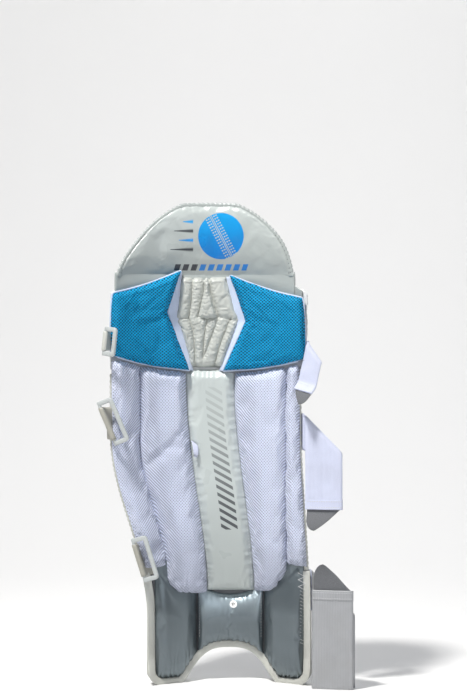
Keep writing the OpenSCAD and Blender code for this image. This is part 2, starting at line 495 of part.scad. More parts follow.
shin_front_cover();
shin_roll(0);  // shin_roll_1
shin_roll(1);  // shin_roll_2
shin_roll(2);  // shin_roll_3
shin_roll(3);  // shin_roll_4
shin_roll(4);  // shin_roll_5
shin_roll(5);  // shin_roll_6
shin_roll(6);  // shin_roll_7
shin_backing();
outer_left_bolster();
inner_left_bolster();
inner_right_bolster();
outer_right_bolster();
bolster_foams();
shin_centre_pad();
shin_centre_foam();
left_ankle_pad();
right_ankle_pad();
ankle_foams();
instep_panel();
instep_foam();
foot_binding();
left_side_binding();
right_side_binding();
size_label();
calf_buckle_tab();
ankle_buckle_tab();
calf_strap_anchor();
ankle_strap_anchor();
knee_roll_lower();
knee_roll_middle();
knee_roll_upper();
knee_roll_foams();
knee_backing();
left_knee_wing();
right_knee_wing();
wing_foams();
left_wing_trim();
right_wing_trim();
left_wing_welt();
right_wing_welt();
knee_cup();
knee_cup_foam();
knee_buckle_tab();
knee_strap_anchor();
top_flap_front();
top_flap_foam();
top_flap_lining();
top_flap_binding();
knee_buckle();
calf_buckle();
ankle_buckle();
knee_strap();
knee_strap_tab();
calf_strap();
calf_strap_tab();
ankle_strap();
ankle_strap_tab();
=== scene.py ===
"""Builds a batting leg pad, stood on its feet with its padded inside to the front, as separate sewn pieces."""

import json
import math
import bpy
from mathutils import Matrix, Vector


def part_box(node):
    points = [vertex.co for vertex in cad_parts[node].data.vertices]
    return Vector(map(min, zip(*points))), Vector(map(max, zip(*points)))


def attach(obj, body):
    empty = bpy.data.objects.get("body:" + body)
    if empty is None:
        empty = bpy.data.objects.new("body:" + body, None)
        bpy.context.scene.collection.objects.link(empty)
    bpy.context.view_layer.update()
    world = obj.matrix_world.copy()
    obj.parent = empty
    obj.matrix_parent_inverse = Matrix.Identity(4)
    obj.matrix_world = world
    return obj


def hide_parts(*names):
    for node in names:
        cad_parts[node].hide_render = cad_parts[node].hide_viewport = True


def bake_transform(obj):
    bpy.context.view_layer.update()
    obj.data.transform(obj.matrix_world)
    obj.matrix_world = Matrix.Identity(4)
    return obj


bl_info = {
    "name": "Batting Leg Pad",
    "version": (1, 0, 0),
    "blender": (4, 5, 0),
    "location": "View3D > Sidebar > Leg Pad",
    "description": "Sews a batting leg pad from covers, bolsters, wings, straps and buckles",
    "category": "Add Mesh",
}

import bpy
import numpy as np
from bpy.props import FloatProperty, FloatVectorProperty, IntProperty, PointerProperty
from mathutils import Matrix, Vector
from mathutils.bvhtree import BVHTree

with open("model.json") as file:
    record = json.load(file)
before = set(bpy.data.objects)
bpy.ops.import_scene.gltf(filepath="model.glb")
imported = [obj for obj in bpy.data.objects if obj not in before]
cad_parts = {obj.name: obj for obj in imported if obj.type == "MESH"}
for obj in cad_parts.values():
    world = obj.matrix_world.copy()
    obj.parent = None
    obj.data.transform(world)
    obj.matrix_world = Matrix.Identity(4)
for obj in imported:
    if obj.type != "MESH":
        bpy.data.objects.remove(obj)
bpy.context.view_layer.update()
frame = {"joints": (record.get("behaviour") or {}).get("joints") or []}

# Lengths in this file are in millimetres unless a name ends in _m. Meshes are in metres.
M = 0.001
LEG, FRONT = 1, -1  # the side of the pad that faces the leg, and the side that faces the bowler


def box_mm(node):
    low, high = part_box(node)
    return np.array(low) / M, np.array(high) / M


KNEE_LOW, KNEE_HIGH = box_mm("knee_backing")
SHIN_TOP = box_mm("shin_backing")[1][2] + 3
KNEE_TOP = KNEE_HIGH[2] + 2
PAD_TOP = box_mm("top_flap_binding")[1][2]
ORIGIN_X = (KNEE_LOW[0] + KNEE_HIGH[0]) / 2 + 0.5  # the middle of the knee is 1 mm left of this
ORIGIN_Y = KNEE_HIGH[1] - 1.5
ARCH_HEIGHT, ARCH_HALF, CORNER = 50, 73, 20  # the arch over the boot and the round corners of the feet
JOINTS = {j["name"]: j for j in frame["joints"]}


# ---------------------------------------------------------------- settings


def length_setting(name, description, value):
    return FloatProperty(name=name, description=description, default=value, unit="LENGTH")


class LegPadSizes(bpy.types.PropertyGroup):
    """How thick and how finely sewn the pad is"""

    bolster_height: length_setting("Bolster height", "Height of the wide mesh bolsters", 0.0195)
    narrow_height: length_setting("Narrow bolster height", "Height of the mesh bolsters along the edges", 0.0165)
    strip_height: length_setting("Centre strip height", "Height of the smooth strip down the middle", 0.0115)
    ankle_height: length_setting("Ankle pad height", "Height of the satin pads over the feet", 0.017)
    wing_height: length_setting("Wing height", "Height of the blue knee wings at their notched edge", 0.023)
    cup_height: length_setting("Knee cup height", "Height of the quilted knee cup", 0.0095)
    roll_height: length_setting("Shin roll height", "Height of the upright rolls on the front", 0.021)
    knee_roll_height: length_setting("Knee roll height", "Height of the knee rolls on the front", 0.025)
    piping_radius: length_setting("Piping radius", "Radius of the piping round the knee wings", 0.0015)
    stitch_pitch: length_setting("Stitch pitch", "Distance from one stitch to the next", 0.0042)
    net_pitch: length_setting("Net pitch", "Height of one cell of the bolsters' mesh fabric", 0.0046)
    wing_net_pitch: length_setting("Wing net pitch", "Height of one cell of the wings' mesh fabric", 0.0045)
    roll_count: IntProperty(
        name="Shin rolls", description="Number of upright rolls on the front", default=7, min=5, max=9
    )


def colour_setting(name, description, value):
    return FloatVectorProperty(name=name, description=description, subtype="COLOR", size=3, min=0, max=1, default=value)


class LegPadColours(bpy.types.PropertyGroup):
    """The colours of the pad's materials"""

    net: colour_setting("Mesh", "Mesh fabric of the bolsters", (0.69, 0.74, 0.92))
    wing: colour_setting("Wing", "Mesh fabric of the knee wings", (0.0, 0.225, 0.44))
    lining: colour_setting("Lining", "Pearl lining of the flap and the centre strip", (0.55, 0.60, 0.59))
    silver: colour_setting("Silver", "Satin of the ankle pads and the instep", (0.18, 0.215, 0.235))
    cream: colour_setting("Cup", "Quilted knee cup", (0.50, 0.52, 0.49))
    cover: colour_setting("Cover", "Face of the pad on the bowler's side", (0.78, 0.79, 0.80))
    binding: colour_setting("Binding", "Edging of the pad", (0.60, 0.61, 0.57))
    knit: colour_setting("Knit", "Smooth knitted strips beside the wings", (0.62, 0.70, 0.88))
    welt: colour_setting("Welt", "Grey welts below the wings", (0.24, 0.26, 0.30))
    strap: colour_setting("Strap", "Elastic straps", (0.68, 0.72, 0.90))
    # Painted shade: the boards are coloured dark so that the seams and gaps between the panels show as shade.
    board: colour_setting("Board", "Cloth of the stiff boards behind the padding", (0.16, 0.165, 0.18))
    ankle_strap: colour_setting("Ankle strap", "Satin webbing of the strap at the ankle", (0.42, 0.43, 0.45))
    hook: colour_setting("Hook tab", "Hook side of the strap ends", (0.24, 0.25, 0.27))
    buckle: colour_setting("Buckle", "Moulded buckles", (0.50, 0.53, 0.53))
    tab: colour_setting("Buckle tab", "Folded tabs that hold the buckles", (0.42, 0.41, 0.36))
    thread: colour_setting("Thread", "Sewing thread", (0.70, 0.71, 0.72))
    print_blue: colour_setting("Print blue", "Printed ball on the flap", (0.005, 0.17, 0.52))
    print_dark: colour_setting("Print grey", "Dark printed bars", (0.03, 0.035, 0.045))
    floor: colour_setting("Floor", "Studio floor", (0.86, 0.86, 0.86))


def sizes():
    return bpy.context.scene.leg_pad_sizes


def colours():
    return bpy.context.scene.leg_pad_colours


# ---------------------------------------------------------------- the pad's curved surface


def mix(a, b, t):
    return a + (b - a) * t


def smooth(a, b, t):
    s = np.clip((t - a) / (b - a), 0, 1)
    return s * s * (3 - 2 * s)


def ramp(distance, width, power=0.5):
    """0 at an edge and 1 from width inwards, rounded like a stuffed edge."""
    s = 1 - np.clip(distance / width, 0, 1)
    return np.power(np.clip(1 - s**2.2, 0, 1), power)


def both_sides(share, length, width, power=0.5):
    """A ramp in from both ends of a length."""
    return ramp(share * length, width, power) * ramp((1 - share) * length, width, power)


def wave(turns):
    """A sine wave that repeats with each whole turn."""
    return np.sin(2 * np.pi * turns)


def bell(distance, width):
    """1 at no distance, falling away over about width."""
    return np.exp(-((distance / width) ** 2))


def level(t):
    """The back of a panel, flat at t off the middle of the backing."""
    return lambda u, v, x, z: t + 0 * u


def crown(t, power=4):
    return np.sqrt(np.clip(1 - np.abs(2 * t - 1) ** power, 0, 1))


def mid_at(z):
    return mix(29, -1, smooth(100, 365, z))


def radius_at(z):
    return mix(162, 200, smooth(80, 400, z))


def left_edge(z):
    return mix(-87, -143, smooth(100, 365, z))


def right_edge(z):
    return mix(145, 133, smooth(120, 380, z))


def on_pad(x, z, t):
    """The point x across and z up, t off the middle of the backing towards the leg."""
    x, z, t = np.broadcast_arrays(np.asarray(x, float), np.asarray(z, float), np.asarray(t, float))
    radius = radius_at(z)
    angle = np.arcsin(np.clip((x - mid_at(z)) / radius, -0.99, 0.99))
    lean = angle * np.where(t > 0, 0.15, 0.5)
    return np.stack(
        [x - t * np.sin(lean) + ORIGIN_X, radius * np.cos(angle) - t * np.cos(lean) - radius + ORIGIN_Y, z], -1
    )


def lower_edge(x):
    """Height of the pad's lower edge: an arch over the boot and a round corner at each side."""
    left, right, middle, corner = left_edge(0), right_edge(0), mid_at(0), CORNER
    d = np.clip(np.minimum(x - left, right - x), 0, None)
    rounded = np.where(d < corner, corner - np.sqrt(np.clip(corner**2 - (corner - d) ** 2, 0, None)), 0)
    m = np.abs(x - middle)
    return rounded + np.where(m < ARCH_HALF, ARCH_HEIGHT * (1 - (np.minimum(m, ARCH_HALF) / ARCH_HALF) ** 3) ** 1.3, 0)


def cells(x, y, seed):
    """A repeatable number from -1 to 1 for each whole x and y."""
    n = (x.astype(np.int64) * 374761393 + y.astype(np.int64) * 668265263 + seed * 974634777) & 0xFFFFFFFF
    n = ((n ^ (n >> 13)) * 1274126177) & 0xFFFFFFFF
    return ((n ^ (n >> 16)) & 0xFFFF) / 32767.5 - 1


def cloud(x, y, seed=0, octaves=2):
    """Smooth noise from about -1 to 1."""
    x, y = np.broadcast_arrays(np.asarray(x, float), np.asarray(y, float))
    total, gain = np.zeros(x.shape), 1.0
    for octave in range(octaves):
        fx, fy = np.floor(x), np.floor(y)
        sx, sy = x - fx, y - fy
        sx, sy = sx**3 * (sx * (6 * sx - 15) + 10), sy**3 * (sy * (6 * sy - 15) + 10)
        low = mix(cells(fx, fy, seed + octave), cells(fx + 1, fy, seed + octave), sx)
        high = mix(cells(fx, fy + 1, seed + octave), cells(fx + 1, fy + 1, seed + octave), sx)
        total += gain * mix(low, high, sy)
        x, y, gain = x * 2.03 + 11.7, y * 2.03 + 5.1, gain * 0.5
    return total


def line_distance(x, z, line):
    """Distance from each point to a line of points, and how far along the line the nearest place is."""
    best, along, run = np.full(np.shape(x), 1e9), np.zeros(np.shape(x)), 0.0
    for (ax, az), (bx, bz) in zip(line[:-1], line[1:]):
        dx, dz = bx - ax, bz - az
        length = math.hypot(dx, dz)
        s = np.clip(((x - ax) * dx + (z - az) * dz) / length**2, 0, 1)
        d = np.hypot(x - ax - s * dx, z - az - s * dz)
        along = np.where(d < best, run + s * length, along)
        best = np.minimum(best, d)
        run += length
    return best, along


def sewn(x, z, lines, depth=3.0, width=4.5, pucker=0.6, pitch=7.0, seed=0):
    """How much sewn lines pull a padded face in, with small puckers that run away from the thread."""
    pulled = np.zeros(np.shape(x))
    for k, line in enumerate(lines):
        d, along = line_distance(x, z, line)
        pulled = np.maximum(pulled, depth * np.exp(-((d / width) ** 1.3)))
        puckers = wave(along / pitch + 0.35 * cloud(along / 9, d / 14, seed + k))
        pulled = pulled + pucker * puckers * np.exp(-(((d - width) / (1.6 * width)) ** 2)) * smooth(0, 2, d)
    return pulled


# ---------------------------------------------------------------- meshes


PIECES = {}  # the pieces sewn so far, by the names they were given


def run_along(line):
    """How far along a line of points each of them lies."""
    return np.concatenate([[0], np.cumsum(np.linalg.norm(np.diff(line, axis=0), axis=1))])


def end_caps(sides, rings, start=0):
    """The faces that close both ends of a tube of rings."""
    return [[start + i for i in range(sides)][::-1], [start + (rings - 1) * sides + i for i in range(sides)]]


def new_piece(name, points, faces, material, flat=None, share=None):
    """A mesh piece from points in millimetres. flat holds the place of each point on the flat cloth, for weaves,
    and share how far it is across and up its panel."""
    mesh = bpy.data.meshes.new(name)
    mesh.from_pydata((np.asarray(points, float).reshape(-1, 3) * M).tolist(), [], [list(map(int, f)) for f in faces])
    loop_points = np.empty(len(mesh.loops), np.int64)
    mesh.loops.foreach_get("vertex_index", loop_points)
    for layer_name, values, scale in (("flat", flat, M), ("share", share, 1)):
        if values is not None:
            layer = mesh.uv_layers.new(name=layer_name)
            layer.data.foreach_set("uv", (np.asarray(values, float).reshape(-1, 2)[loop_points] * scale).ravel())
    mesh.polygons.foreach_set("use_smooth", [True] * len(mesh.polygons))
    mesh.materials.append(material)
    mesh.update()
    piece = bpy.data.objects.new(name, mesh)
    bpy.context.scene.collection.objects.link(piece)
    PIECES[name] = piece
    return piece


def grid_faces(nu, nv, start=0, flip=False, wrap=False):
    """Quads of a grid of nv rows of nu points. wrap joins each row's end to its beginning."""
    i = np.arange(nu if wrap else nu - 1)
    j = np.arange(nv - 1)
    i, j = np.meshgrid(i, j)
    a = j * nu + i
    b = j * nu + (i + 1) % nu
    quads = np.stack([a, b, b + nu, a + nu], -1).reshape(-1, 4) + start
    return quads[:, ::-1] if flip else quads


def closed_sheet(face, back, flip=False):
    """Points and faces of a closed solid between two grids of the same size."""
    nv, nu = face.shape[:2]
    n = nu * nv
    rim = np.concatenate(
        [
            np.arange(nu), np.arange(1, nv) * nu + nu - 1, (nv - 1) * nu + np.arange(nu - 2, -1, -1),
            np.arange(nv - 2, 0, -1) * nu
        ]
    )
    ahead = np.roll(rim, -1)
    wall = np.stack([rim, rim + n, ahead + n, ahead], -1)
    if flip:
        wall = wall[:, ::-1]
    faces = np.concatenate([grid_faces(nu, nv, 0, flip), grid_faces(nu, nv, n, not flip), wall])
    return np.concatenate([face.reshape(-1, 3), back.reshape(-1, 3)]), faces


def face_normals(grid):
    across = np.gradient(grid, axis=1)
    up = np.gradient(grid, axis=0)
    normal = np.cross(across, up)
    return normal / np.maximum(np.linalg.norm(normal, axis=-1, keepdims=True), 1e-9)


COARSER = 3  # how many times coarser than its panel a simulated grid is


def billow(grid, held, pressure, slack, cap, frames=16):
    """Cloth simulation of one padded face. The grid's held points stay where they are, slack is how much cloth there
    is to spare, and no point moves more than cap. Gives how far each point moved."""
    nv, nu = grid.shape[:2]
    piece = new_piece("billowing", grid, grid_faces(nu, nv), bpy.data.materials["thread"])
    group = piece.vertex_groups.new(name="held")
    for index in np.flatnonzero(held.ravel() > 0.01):
        group.add([int(index)], float(min(1.0, held.ravel()[index])), "REPLACE")
    cloth = piece.modifiers.new("billow", "CLOTH")
    cloth.point_cache.frame_start, cloth.point_cache.frame_end = 1, frames + 1
    rule = cloth.settings
    rule.quality, rule.mass, rule.air_damping = 4, 0.25, 4
    rule.tension_stiffness = rule.compression_stiffness = 18
    rule.shear_stiffness, rule.bending_stiffness = 6, 0.35
    rule.vertex_group_mass, rule.pin_stiffness = "held", 1
    rule.shrink_min = -slack
    rule.use_pressure, rule.uniform_pressure_force = True, pressure
    rule.effector_weights.gravity = 0
    cloth.collision_settings.use_collision = False
    for number in range(1, frames + 1):
        bpy.context.scene.frame_set(number)
    swollen = piece.evaluated_get(bpy.context.evaluated_depsgraph_get())
    found = np.empty(nu * nv * 3)
    swollen.data.vertices.foreach_get("co", found)
    bpy.context.scene.frame_set(1)
    mesh = piece.data
    bpy.data.objects.remove(piece)
    bpy.data.meshes.remove(mesh)
    moved = found.reshape(nv, nu, 3) / M - grid
    length = np.linalg.norm(moved, axis=-1, keepdims=True)
    return moved * np.minimum(1, cap / np.maximum(length, 1e-6))


def finer(grid, nu, nv):
    """A grid of values spread smoothly over nu by nv points."""
    for axis, count in ((1, nu), (0, nv)):
        size = grid.shape[axis]
        at = np.linspace(0, size - 1, count)
        k = np.clip(np.floor(at).astype(int), 0, size - 2)
        f = at - k
        shape = [1, 1, 1]
        shape[axis] = count
        f = f.reshape(shape)
        take = lambda i: np.take(grid, np.clip(k + i, 0, size - 1), axis=axis)
        p0, p1, p2, p3 = take(-1), take(0), take(1), take(2)
        grid = (
            0.5
            * (2 * p1 + (p2 - p0) * f + (2 * p0 - 5 * p1 + 4 * p2 - p3) * f**2 + (3 * p1 - p0 - 3 * p2 + p3) * f**3)
        )
    return grid


def panel(name, place, face, back, counts, material, side=LEG, cloth=None, detail=None):
    """One padded panel: a shaped face over a grid of the pad's surface, closed at its back.
    place gives x and z from u and v, face and back give t, and detail moves the face along its normal."""
    nu, nv = counts
    u, v = np.meshgrid(np.linspace(0, 1, nu), np.linspace(0, 1, nv))
    x, z = place(u, v)
    outer, inner = on_pad(x, z, face(u, v, x, z)), on_pad(x, z, back(u, v, x, z))
    if cloth:
        su, sv = max(12, nu // COARSER), max(12, nv // COARSER)
        cu, cv = np.meshgrid(np.linspace(0, 1, su), np.linspace(0, 1, sv))
        cx, cz = place(cu, cv)
        coarse = on_pad(cx, cz, face(cu, cv, cx, cz))
        held = np.zeros(cu.shape)
        held[0], held[-1], held[:, 0], held[:, -1] = 1, 1, 1, 1
        if "held" in cloth:
            held = np.maximum(held, cloth["held"](cu, cv, cx, cz))
        grid = coarse if side == LEG else coarse[:, ::-1]
        moved = billow(grid, held if side == LEG else held[:, ::-1], cloth["pressure"], cloth["slack"], cloth["cap"])
        outer = outer + finer(moved if side == LEG else moved[:, ::-1], nu, nv)
    if detail is not None:
        outer = outer + face_normals(outer) * (side * detail(u, v, x, z))[..., None]
    points, faces = closed_sheet(outer, inner, flip=side == FRONT)
    middle, radius = mid_at(z), radius_at(z)
    flat = np.stack([middle + radius * np.arcsin(np.clip((x - middle) / radius, -0.99, 0.99)), z], -1).reshape(-1, 2)
    share = np.stack([u, v], -1).reshape(-1, 2)
    return new_piece(name, points, faces, material, np.concatenate([flat, flat]), np.concatenate([share, share]))


def frames_along(path, up):
    """Direction, side and up vectors at each point of a path."""
    path, up = np.asarray(path, float), np.asarray(up, float)
    ahead = np.gradient(path, axis=0)
    ahead /= np.maximum(np.linalg.norm(ahead, axis=1, keepdims=True), 1e-9)
    out = np.cross(ahead, up)
    out /= np.maximum(np.linalg.norm(out, axis=1, keepdims=True), 1e-9)
    return ahead, out, np.cross(out, ahead)


def loop_tube(name, path, radius, material, sides=10):
    """A round tube along a closed path in millimetres."""
    path = np.asarray(path, float)
    _, out, top = frames_along(path, np.tile([0.3, -1.0, 0.2], (len(path), 1)))
    angle = np.linspace(0, 2 * np.pi, sides, endpoint=False)
    ring = np.cos(angle)[None, :, None] * out[:, None] + np.sin(angle)[None, :, None] * top[:, None]
    points = path[:, None] + ring * radius
    faces = grid_faces(sides, len(path), wrap=True).tolist()
    last = (len(path) - 1) * sides
    faces += [[last + i, last + (i + 1) % sides, (i + 1) % sides, i] for i in range(sides)]
    around = np.tile(angle * 2, (len(path), 1))
    run = run_along(path)
    flat = np.stack([around, np.tile(run[:, None], (1, sides))], -1).reshape(-1, 2)
    return new_piece(name, points.reshape(-1, 3), faces, material, flat)


def ribbon(name, grid, thickness, material):
    """Webbing of one thickness over a grid of points, with softly rounded edges."""
    normal = face_normals(grid)
    nv, nu = grid.shape[:2]
    half = np.full((nv, nu), thickness / 2)
    half[:, [0, -1]] *= 0.45
    face, back = grid + normal * half[..., None], grid - normal * half[..., None]
    points, faces = closed_sheet(face, back)
    across = run_along(grid[nv // 2])
    along = run_along(grid[:, nu // 2])
    flat = np.stack(np.meshgrid(across, along), -1).reshape(-1, 2)
    return new_piece(name, points, faces, material, np.concatenate([flat, flat]))


def resample(line, step):
    """Points every step along a line of points."""
    line = np.asarray(line, float)
    run = run_along(line)
    count = max(2, int(round(run[-1] / step)) + 1)
    at = np.linspace(0, run[-1], count)
    return np.stack([np.interp(at, run, line[:, k]) for k in range(line.shape[1])], -1)


def rounded_line(corners, radius, step=1.5):
    """A line through the corners with each inner corner rounded off."""
    corners = [np.asarray(c, float) for c in corners]
    line = [corners[0]]
    for before, corner, after in zip(corners[:-2], corners[1:-1], corners[2:]):
        a, b = before - corner, after - corner
        cut = min(radius, np.linalg.norm(a) / 2.2, np.linalg.norm(b) / 2.2)
        start, end = corner + a / np.linalg.norm(a) * cut, corner + b / np.linalg.norm(b) * cut
        line += [(1 - s) ** 2 * start + 2 * s * (1 - s) * corner + s * s * end for s in np.linspace(0, 1, 7)]
    line.append(corners[-1])
    return resample(line, step)


def land(line, piece, side=LEG, lift=0.0):
    """Drops points of [x, z] on the pad onto a piece's face. Gives the points, their normals and which ones landed."""
    tree = BVHTree.FromObject(piece, bpy.context.evaluated_depsgraph_get())
    points, normals, landed = [], [], []
    for x, z in line:
        far = on_pad(x, z, side * 70.0)
        near = far + (on_pad(x, z, 0) - far) * 1.15
        ray = Vector((near - far) * M)
        hit, normal, _, _ = tree.ray_cast(Vector(far * M), ray.normalized(), ray.length)
        landed.append(hit is not None)
        if hit is None:
            hit, normal = Vector(near * M), Vector((0, -side, 0))
        elif normal.dot(ray) > 0:
            normal = -normal
        normals.append(np.array(normal))
        points.append(np.array(hit) / M + np.array(normal) * lift)
    return np.array(points), np.array(normals), np.array(landed)


def stitches(name, runs, material, length=3.0, radius=0.42, sink=0.1):
    """Short sewing stitches along runs of (points, normals). The points are already one stitch apart."""
    points, faces = [], []
    sides, rings = 6, ((-0.5, 0.35, -0.35), (-0.38, 0.9, 0.1), (0, 1.1, 0.3), (0.38, 0.9, 0.1), (0.5, 0.35, -0.35))
    angle = np.linspace(0, 2 * np.pi, sides, endpoint=False)
    for path, normals in runs:
        if len(path) < 2:
            continue
        ahead, out, top = frames_along(path, normals)
        for k in range(len(path)):
            start = len(points)
            for along, wide, high in rings:
                centre = path[k] + ahead[k] * along * length + top[k] * (high * radius - sink)
                points += [centre + (out[k] * math.cos(a) + top[k] * 0.75 * math.sin(a)) * radius * wide for a in angle]
            faces += (grid_faces(sides, len(rings), start, wrap=True)).tolist()
            faces += end_caps(sides, len(rings), start)
    return new_piece(name, points, faces, material)


def stitch_line(line, piece, side=LEG, pitch=None):
    """A run of stitch places along a line of [x, z], dropped on a piece."""
    pitch = pitch or sizes().stitch_pitch / M
    points, normals, landed = land(resample(line, pitch), piece, side)
    return points[landed], normals[landed]


def finish_piece(piece, body, nodes=()):
    """Says which body a piece rides on, and hides the CAD nodes it stands for."""
    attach(piece, body)
    if nodes:
        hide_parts(*nodes)
    return piece


# ---------------------------------------------------------------- materials


class Tree:
    """A short way to write node trees."""

    def __init__(self, tree):
        self.tree = tree

    def node(self, kind, **settings):
        node = self.tree.nodes.new(kind)
        for name, value in settings.items():
            setattr(node, name, value)
        return node

    def join(self, a, b):
        self.tree.links.new(a, b)

    def feed(self, socket, value):
        if isinstance(value, bpy.types.NodeSocket):
            self.join(value, socket)
        else:
            socket.default_value = value

    def math(self, operation, a, b=0.0, c=0.0):
        node = self.node("ShaderNodeMath", operation=operation)
        for socket, value in zip(node.inputs, (a, b, c)):
            self.feed(socket, value)
        return node.outputs[0]

    def plus(self, a, b):
        return self.math("ADD", a, b)

    def minus(self, a, b):
        return self.math("SUBTRACT", a, b)

    def times(self, a, b):
        return self.math("MULTIPLY", a, b)

    def over(self, a, b):
        return self.math("DIVIDE", a, b)

    def blend(self, factor, a, b):
        node = self.node("ShaderNodeMix", data_type="RGBA")
        self.feed(node.inputs["Factor"], factor)
        self.feed(node.inputs[6], a)
        self.feed(node.inputs[7], b)
        return node.outputs[2]

    def spread(self, value, low, high, to_low=0.0, to_high=1.0):
        node = self.node("ShaderNodeMapRange", interpolation_type="SMOOTHSTEP")
        for socket, number in zip(node.inputs, (value, low, high, to_low, to_high)):
            self.feed(socket, number)
        return node.outputs[0]

    def split(self, vector):
        """The node that gives the three parts of a vector."""
        node = self.node("ShaderNodeSeparateXYZ")
        self.join(vector, node.inputs[0])
        return node

    def noise(self, vector, scale, detail=2.0, roughness=0.5):
        node = self.node("ShaderNodeTexNoise")
        self.join(vector, node.inputs["Vector"])
        self.feed(node.inputs["Scale"], scale)
        node.inputs["Detail"].default_value = detail
        node.inputs["Roughness"].default_value = roughness
        return node.outputs["Fac"]

    def group(self, name, **inputs):
        node = self.node("ShaderNodeGroup", node_tree=bpy.data.node_groups[name])
        for key, value in inputs.items():
            self.feed(node.inputs[key.replace("_", " ")], value)
        return node

    def flat(self):
        """Place on the flat cloth, in metres."""
        return self.node("ShaderNodeUVMap", uv_map="flat").outputs[0]

    def object_place(self):
        return self.node("ShaderNodeTexCoord").outputs["Object"]


def node_group(name, inputs, outputs):
    """An empty shader node group with named inputs and outputs, and its input and output nodes."""
    tree = bpy.data.node_groups.new(name, "ShaderNodeTree")
    for title, kind, value in inputs:
        socket = tree.interface.new_socket(name=title, in_out="INPUT", socket_type=kind)
        if value is not None:
            socket.default_value = value
    for title, kind in outputs:
        tree.interface.new_socket(name=title, in_out="OUTPUT", socket_type=kind)
    t = Tree(tree)
    return t, t.node("NodeGroupInput"), t.node("NodeGroupOutput")


def make_effects():
    """The effects that several materials share."""
    value, vector = "NodeSocketFloat", "NodeSocketVector"

    # Net: a mesh of two families of slanting yarns. Falling and Rising are how far one family hides the other,
    # as it does where the cloth curves away.
    given_inputs = [
        ("Place", vector, None), ("Pitch", value, 0.0046), ("Slope", value, 1.0), ("Falling", value, 0.0),
        ("Rising", value, 0.0)
    ]
    t, given, out = node_group("Net", given_inputs, [("Height", value), ("Holes", value)])
    parts = t.split(given.outputs["Place"])
    x = t.times(t.over(parts.outputs[0], given.outputs["Pitch"]), given.outputs["Slope"])
    y = t.over(parts.outputs[1], given.outputs["Pitch"])
    gaps = [
        t.math("MULTIPLY_ADD", t.math("COSINE", t.times(t.math(op, y, x), 2 * math.pi)), 0.5, 0.5)
        for op in ("ADD", "SUBTRACT")
    ]
    both = t.math("POWER", t.times(gaps[0], gaps[1]), 0.7)
    mesh = t.plus(both, t.times(given.outputs["Falling"], t.minus(gaps[0], both)))
    mesh = t.plus(mesh, t.times(given.outputs["Rising"], t.minus(gaps[1], mesh)))
    t.join(t.minus(1.0, mesh), out.inputs["Height"])
    t.join(t.spread(mesh, 0.35, 0.8), out.inputs["Holes"])

    # Grain: fine creases of coated leather, with slow changes of tone.
    t, given, out = node_group(
        "Grain", [("Place", vector, None), ("Scale", value, 900.0)], [("Height", value), ("Tone", value)]
    )
    pits = t.node("ShaderNodeTexVoronoi", feature="F1")
    t.join(given.outputs["Place"], pits.inputs["Vector"])
    t.join(given.outputs["Scale"], pits.inputs["Scale"])
    rough = t.noise(given.outputs["Place"], t.times(given.outputs["Scale"], 0.4), 3)
    t.join(t.plus(t.times(pits.outputs["Distance"], 0.6), t.times(rough, 0.6)), out.inputs["Height"])
    t.join(t.noise(given.outputs["Place"], 14.0, 3), out.inputs["Tone"])

    # Weave: ribs of knitted or woven tape, with rows across them.
    t, given, out = node_group(
        "Weave", [("Place", vector, None), ("Ribs", value, 900.0), ("Rows", value, 700.0)],
        [("Height", value), ("Gaps", value)]
    )
    parts = t.split(given.outputs["Place"])
    ribs = t.math("SINE", t.times(parts.outputs[0], t.times(given.outputs["Ribs"], 2 * math.pi)))
    rows = t.math("SINE", t.times(parts.outputs[1], t.times(given.outputs["Rows"], 2 * math.pi)))
    woven = t.plus(t.times(ribs, 0.5), t.times(t.times(rows, ribs), 0.5))
    t.join(woven, out.inputs["Height"])
    t.join(t.spread(woven, -0.4, -0.95), out.inputs["Gaps"])

    # Soil: dust that gathers low on the pad and in soft patches.
    t, given, out = node_group("Soil", [("Place", vector, None), ("Amount", value, 0.2)], [("Mask", value)])
    parts = t.split(given.outputs["Place"])
    low = t.spread(parts.outputs[2], 0.16, 0.0)
    patches = t.spread(t.noise(given.outputs["Place"], 22.0, 4), 0.45, 0.75)
    total = t.times(t.plus(t.times(low, 0.6), t.times(patches, 0.5)), given.outputs["Amount"])
    t.join(total, out.inputs["Mask"])


def material(name, colour, roughness, build, **constants):
    """A material whose numbers that stay the same are set on the shader, and whose patterns come from build."""
    found = bpy.data.materials.new(name)
    found.use_nodes = True
    found.diffuse_color = (*colour, 1)
    t = Tree(found.node_tree)
    shader = next(n for n in found.node_tree.nodes if n.type == "BSDF_PRINCIPLED")
    shader.inputs["Base Color"].default_value = (*colour, 1)
    shader.inputs["Roughness"].default_value = roughness
    for key, number in constants.items():
        shader.inputs[key.replace("_", " ")].default_value = number
    height, distance, strength = build(t, shader, (*colour, 1))
    bump = t.node("ShaderNodeBump")
    bump.inputs["Strength"].default_value = strength
    bump.inputs["Distance"].default_value = distance
    t.join(height, bump.inputs["Height"])
    t.join(bump.outputs[0], shader.inputs["Normal"])


def darker(colour, share):
    return tuple(c * share for c in colour[:3]) + (1,)


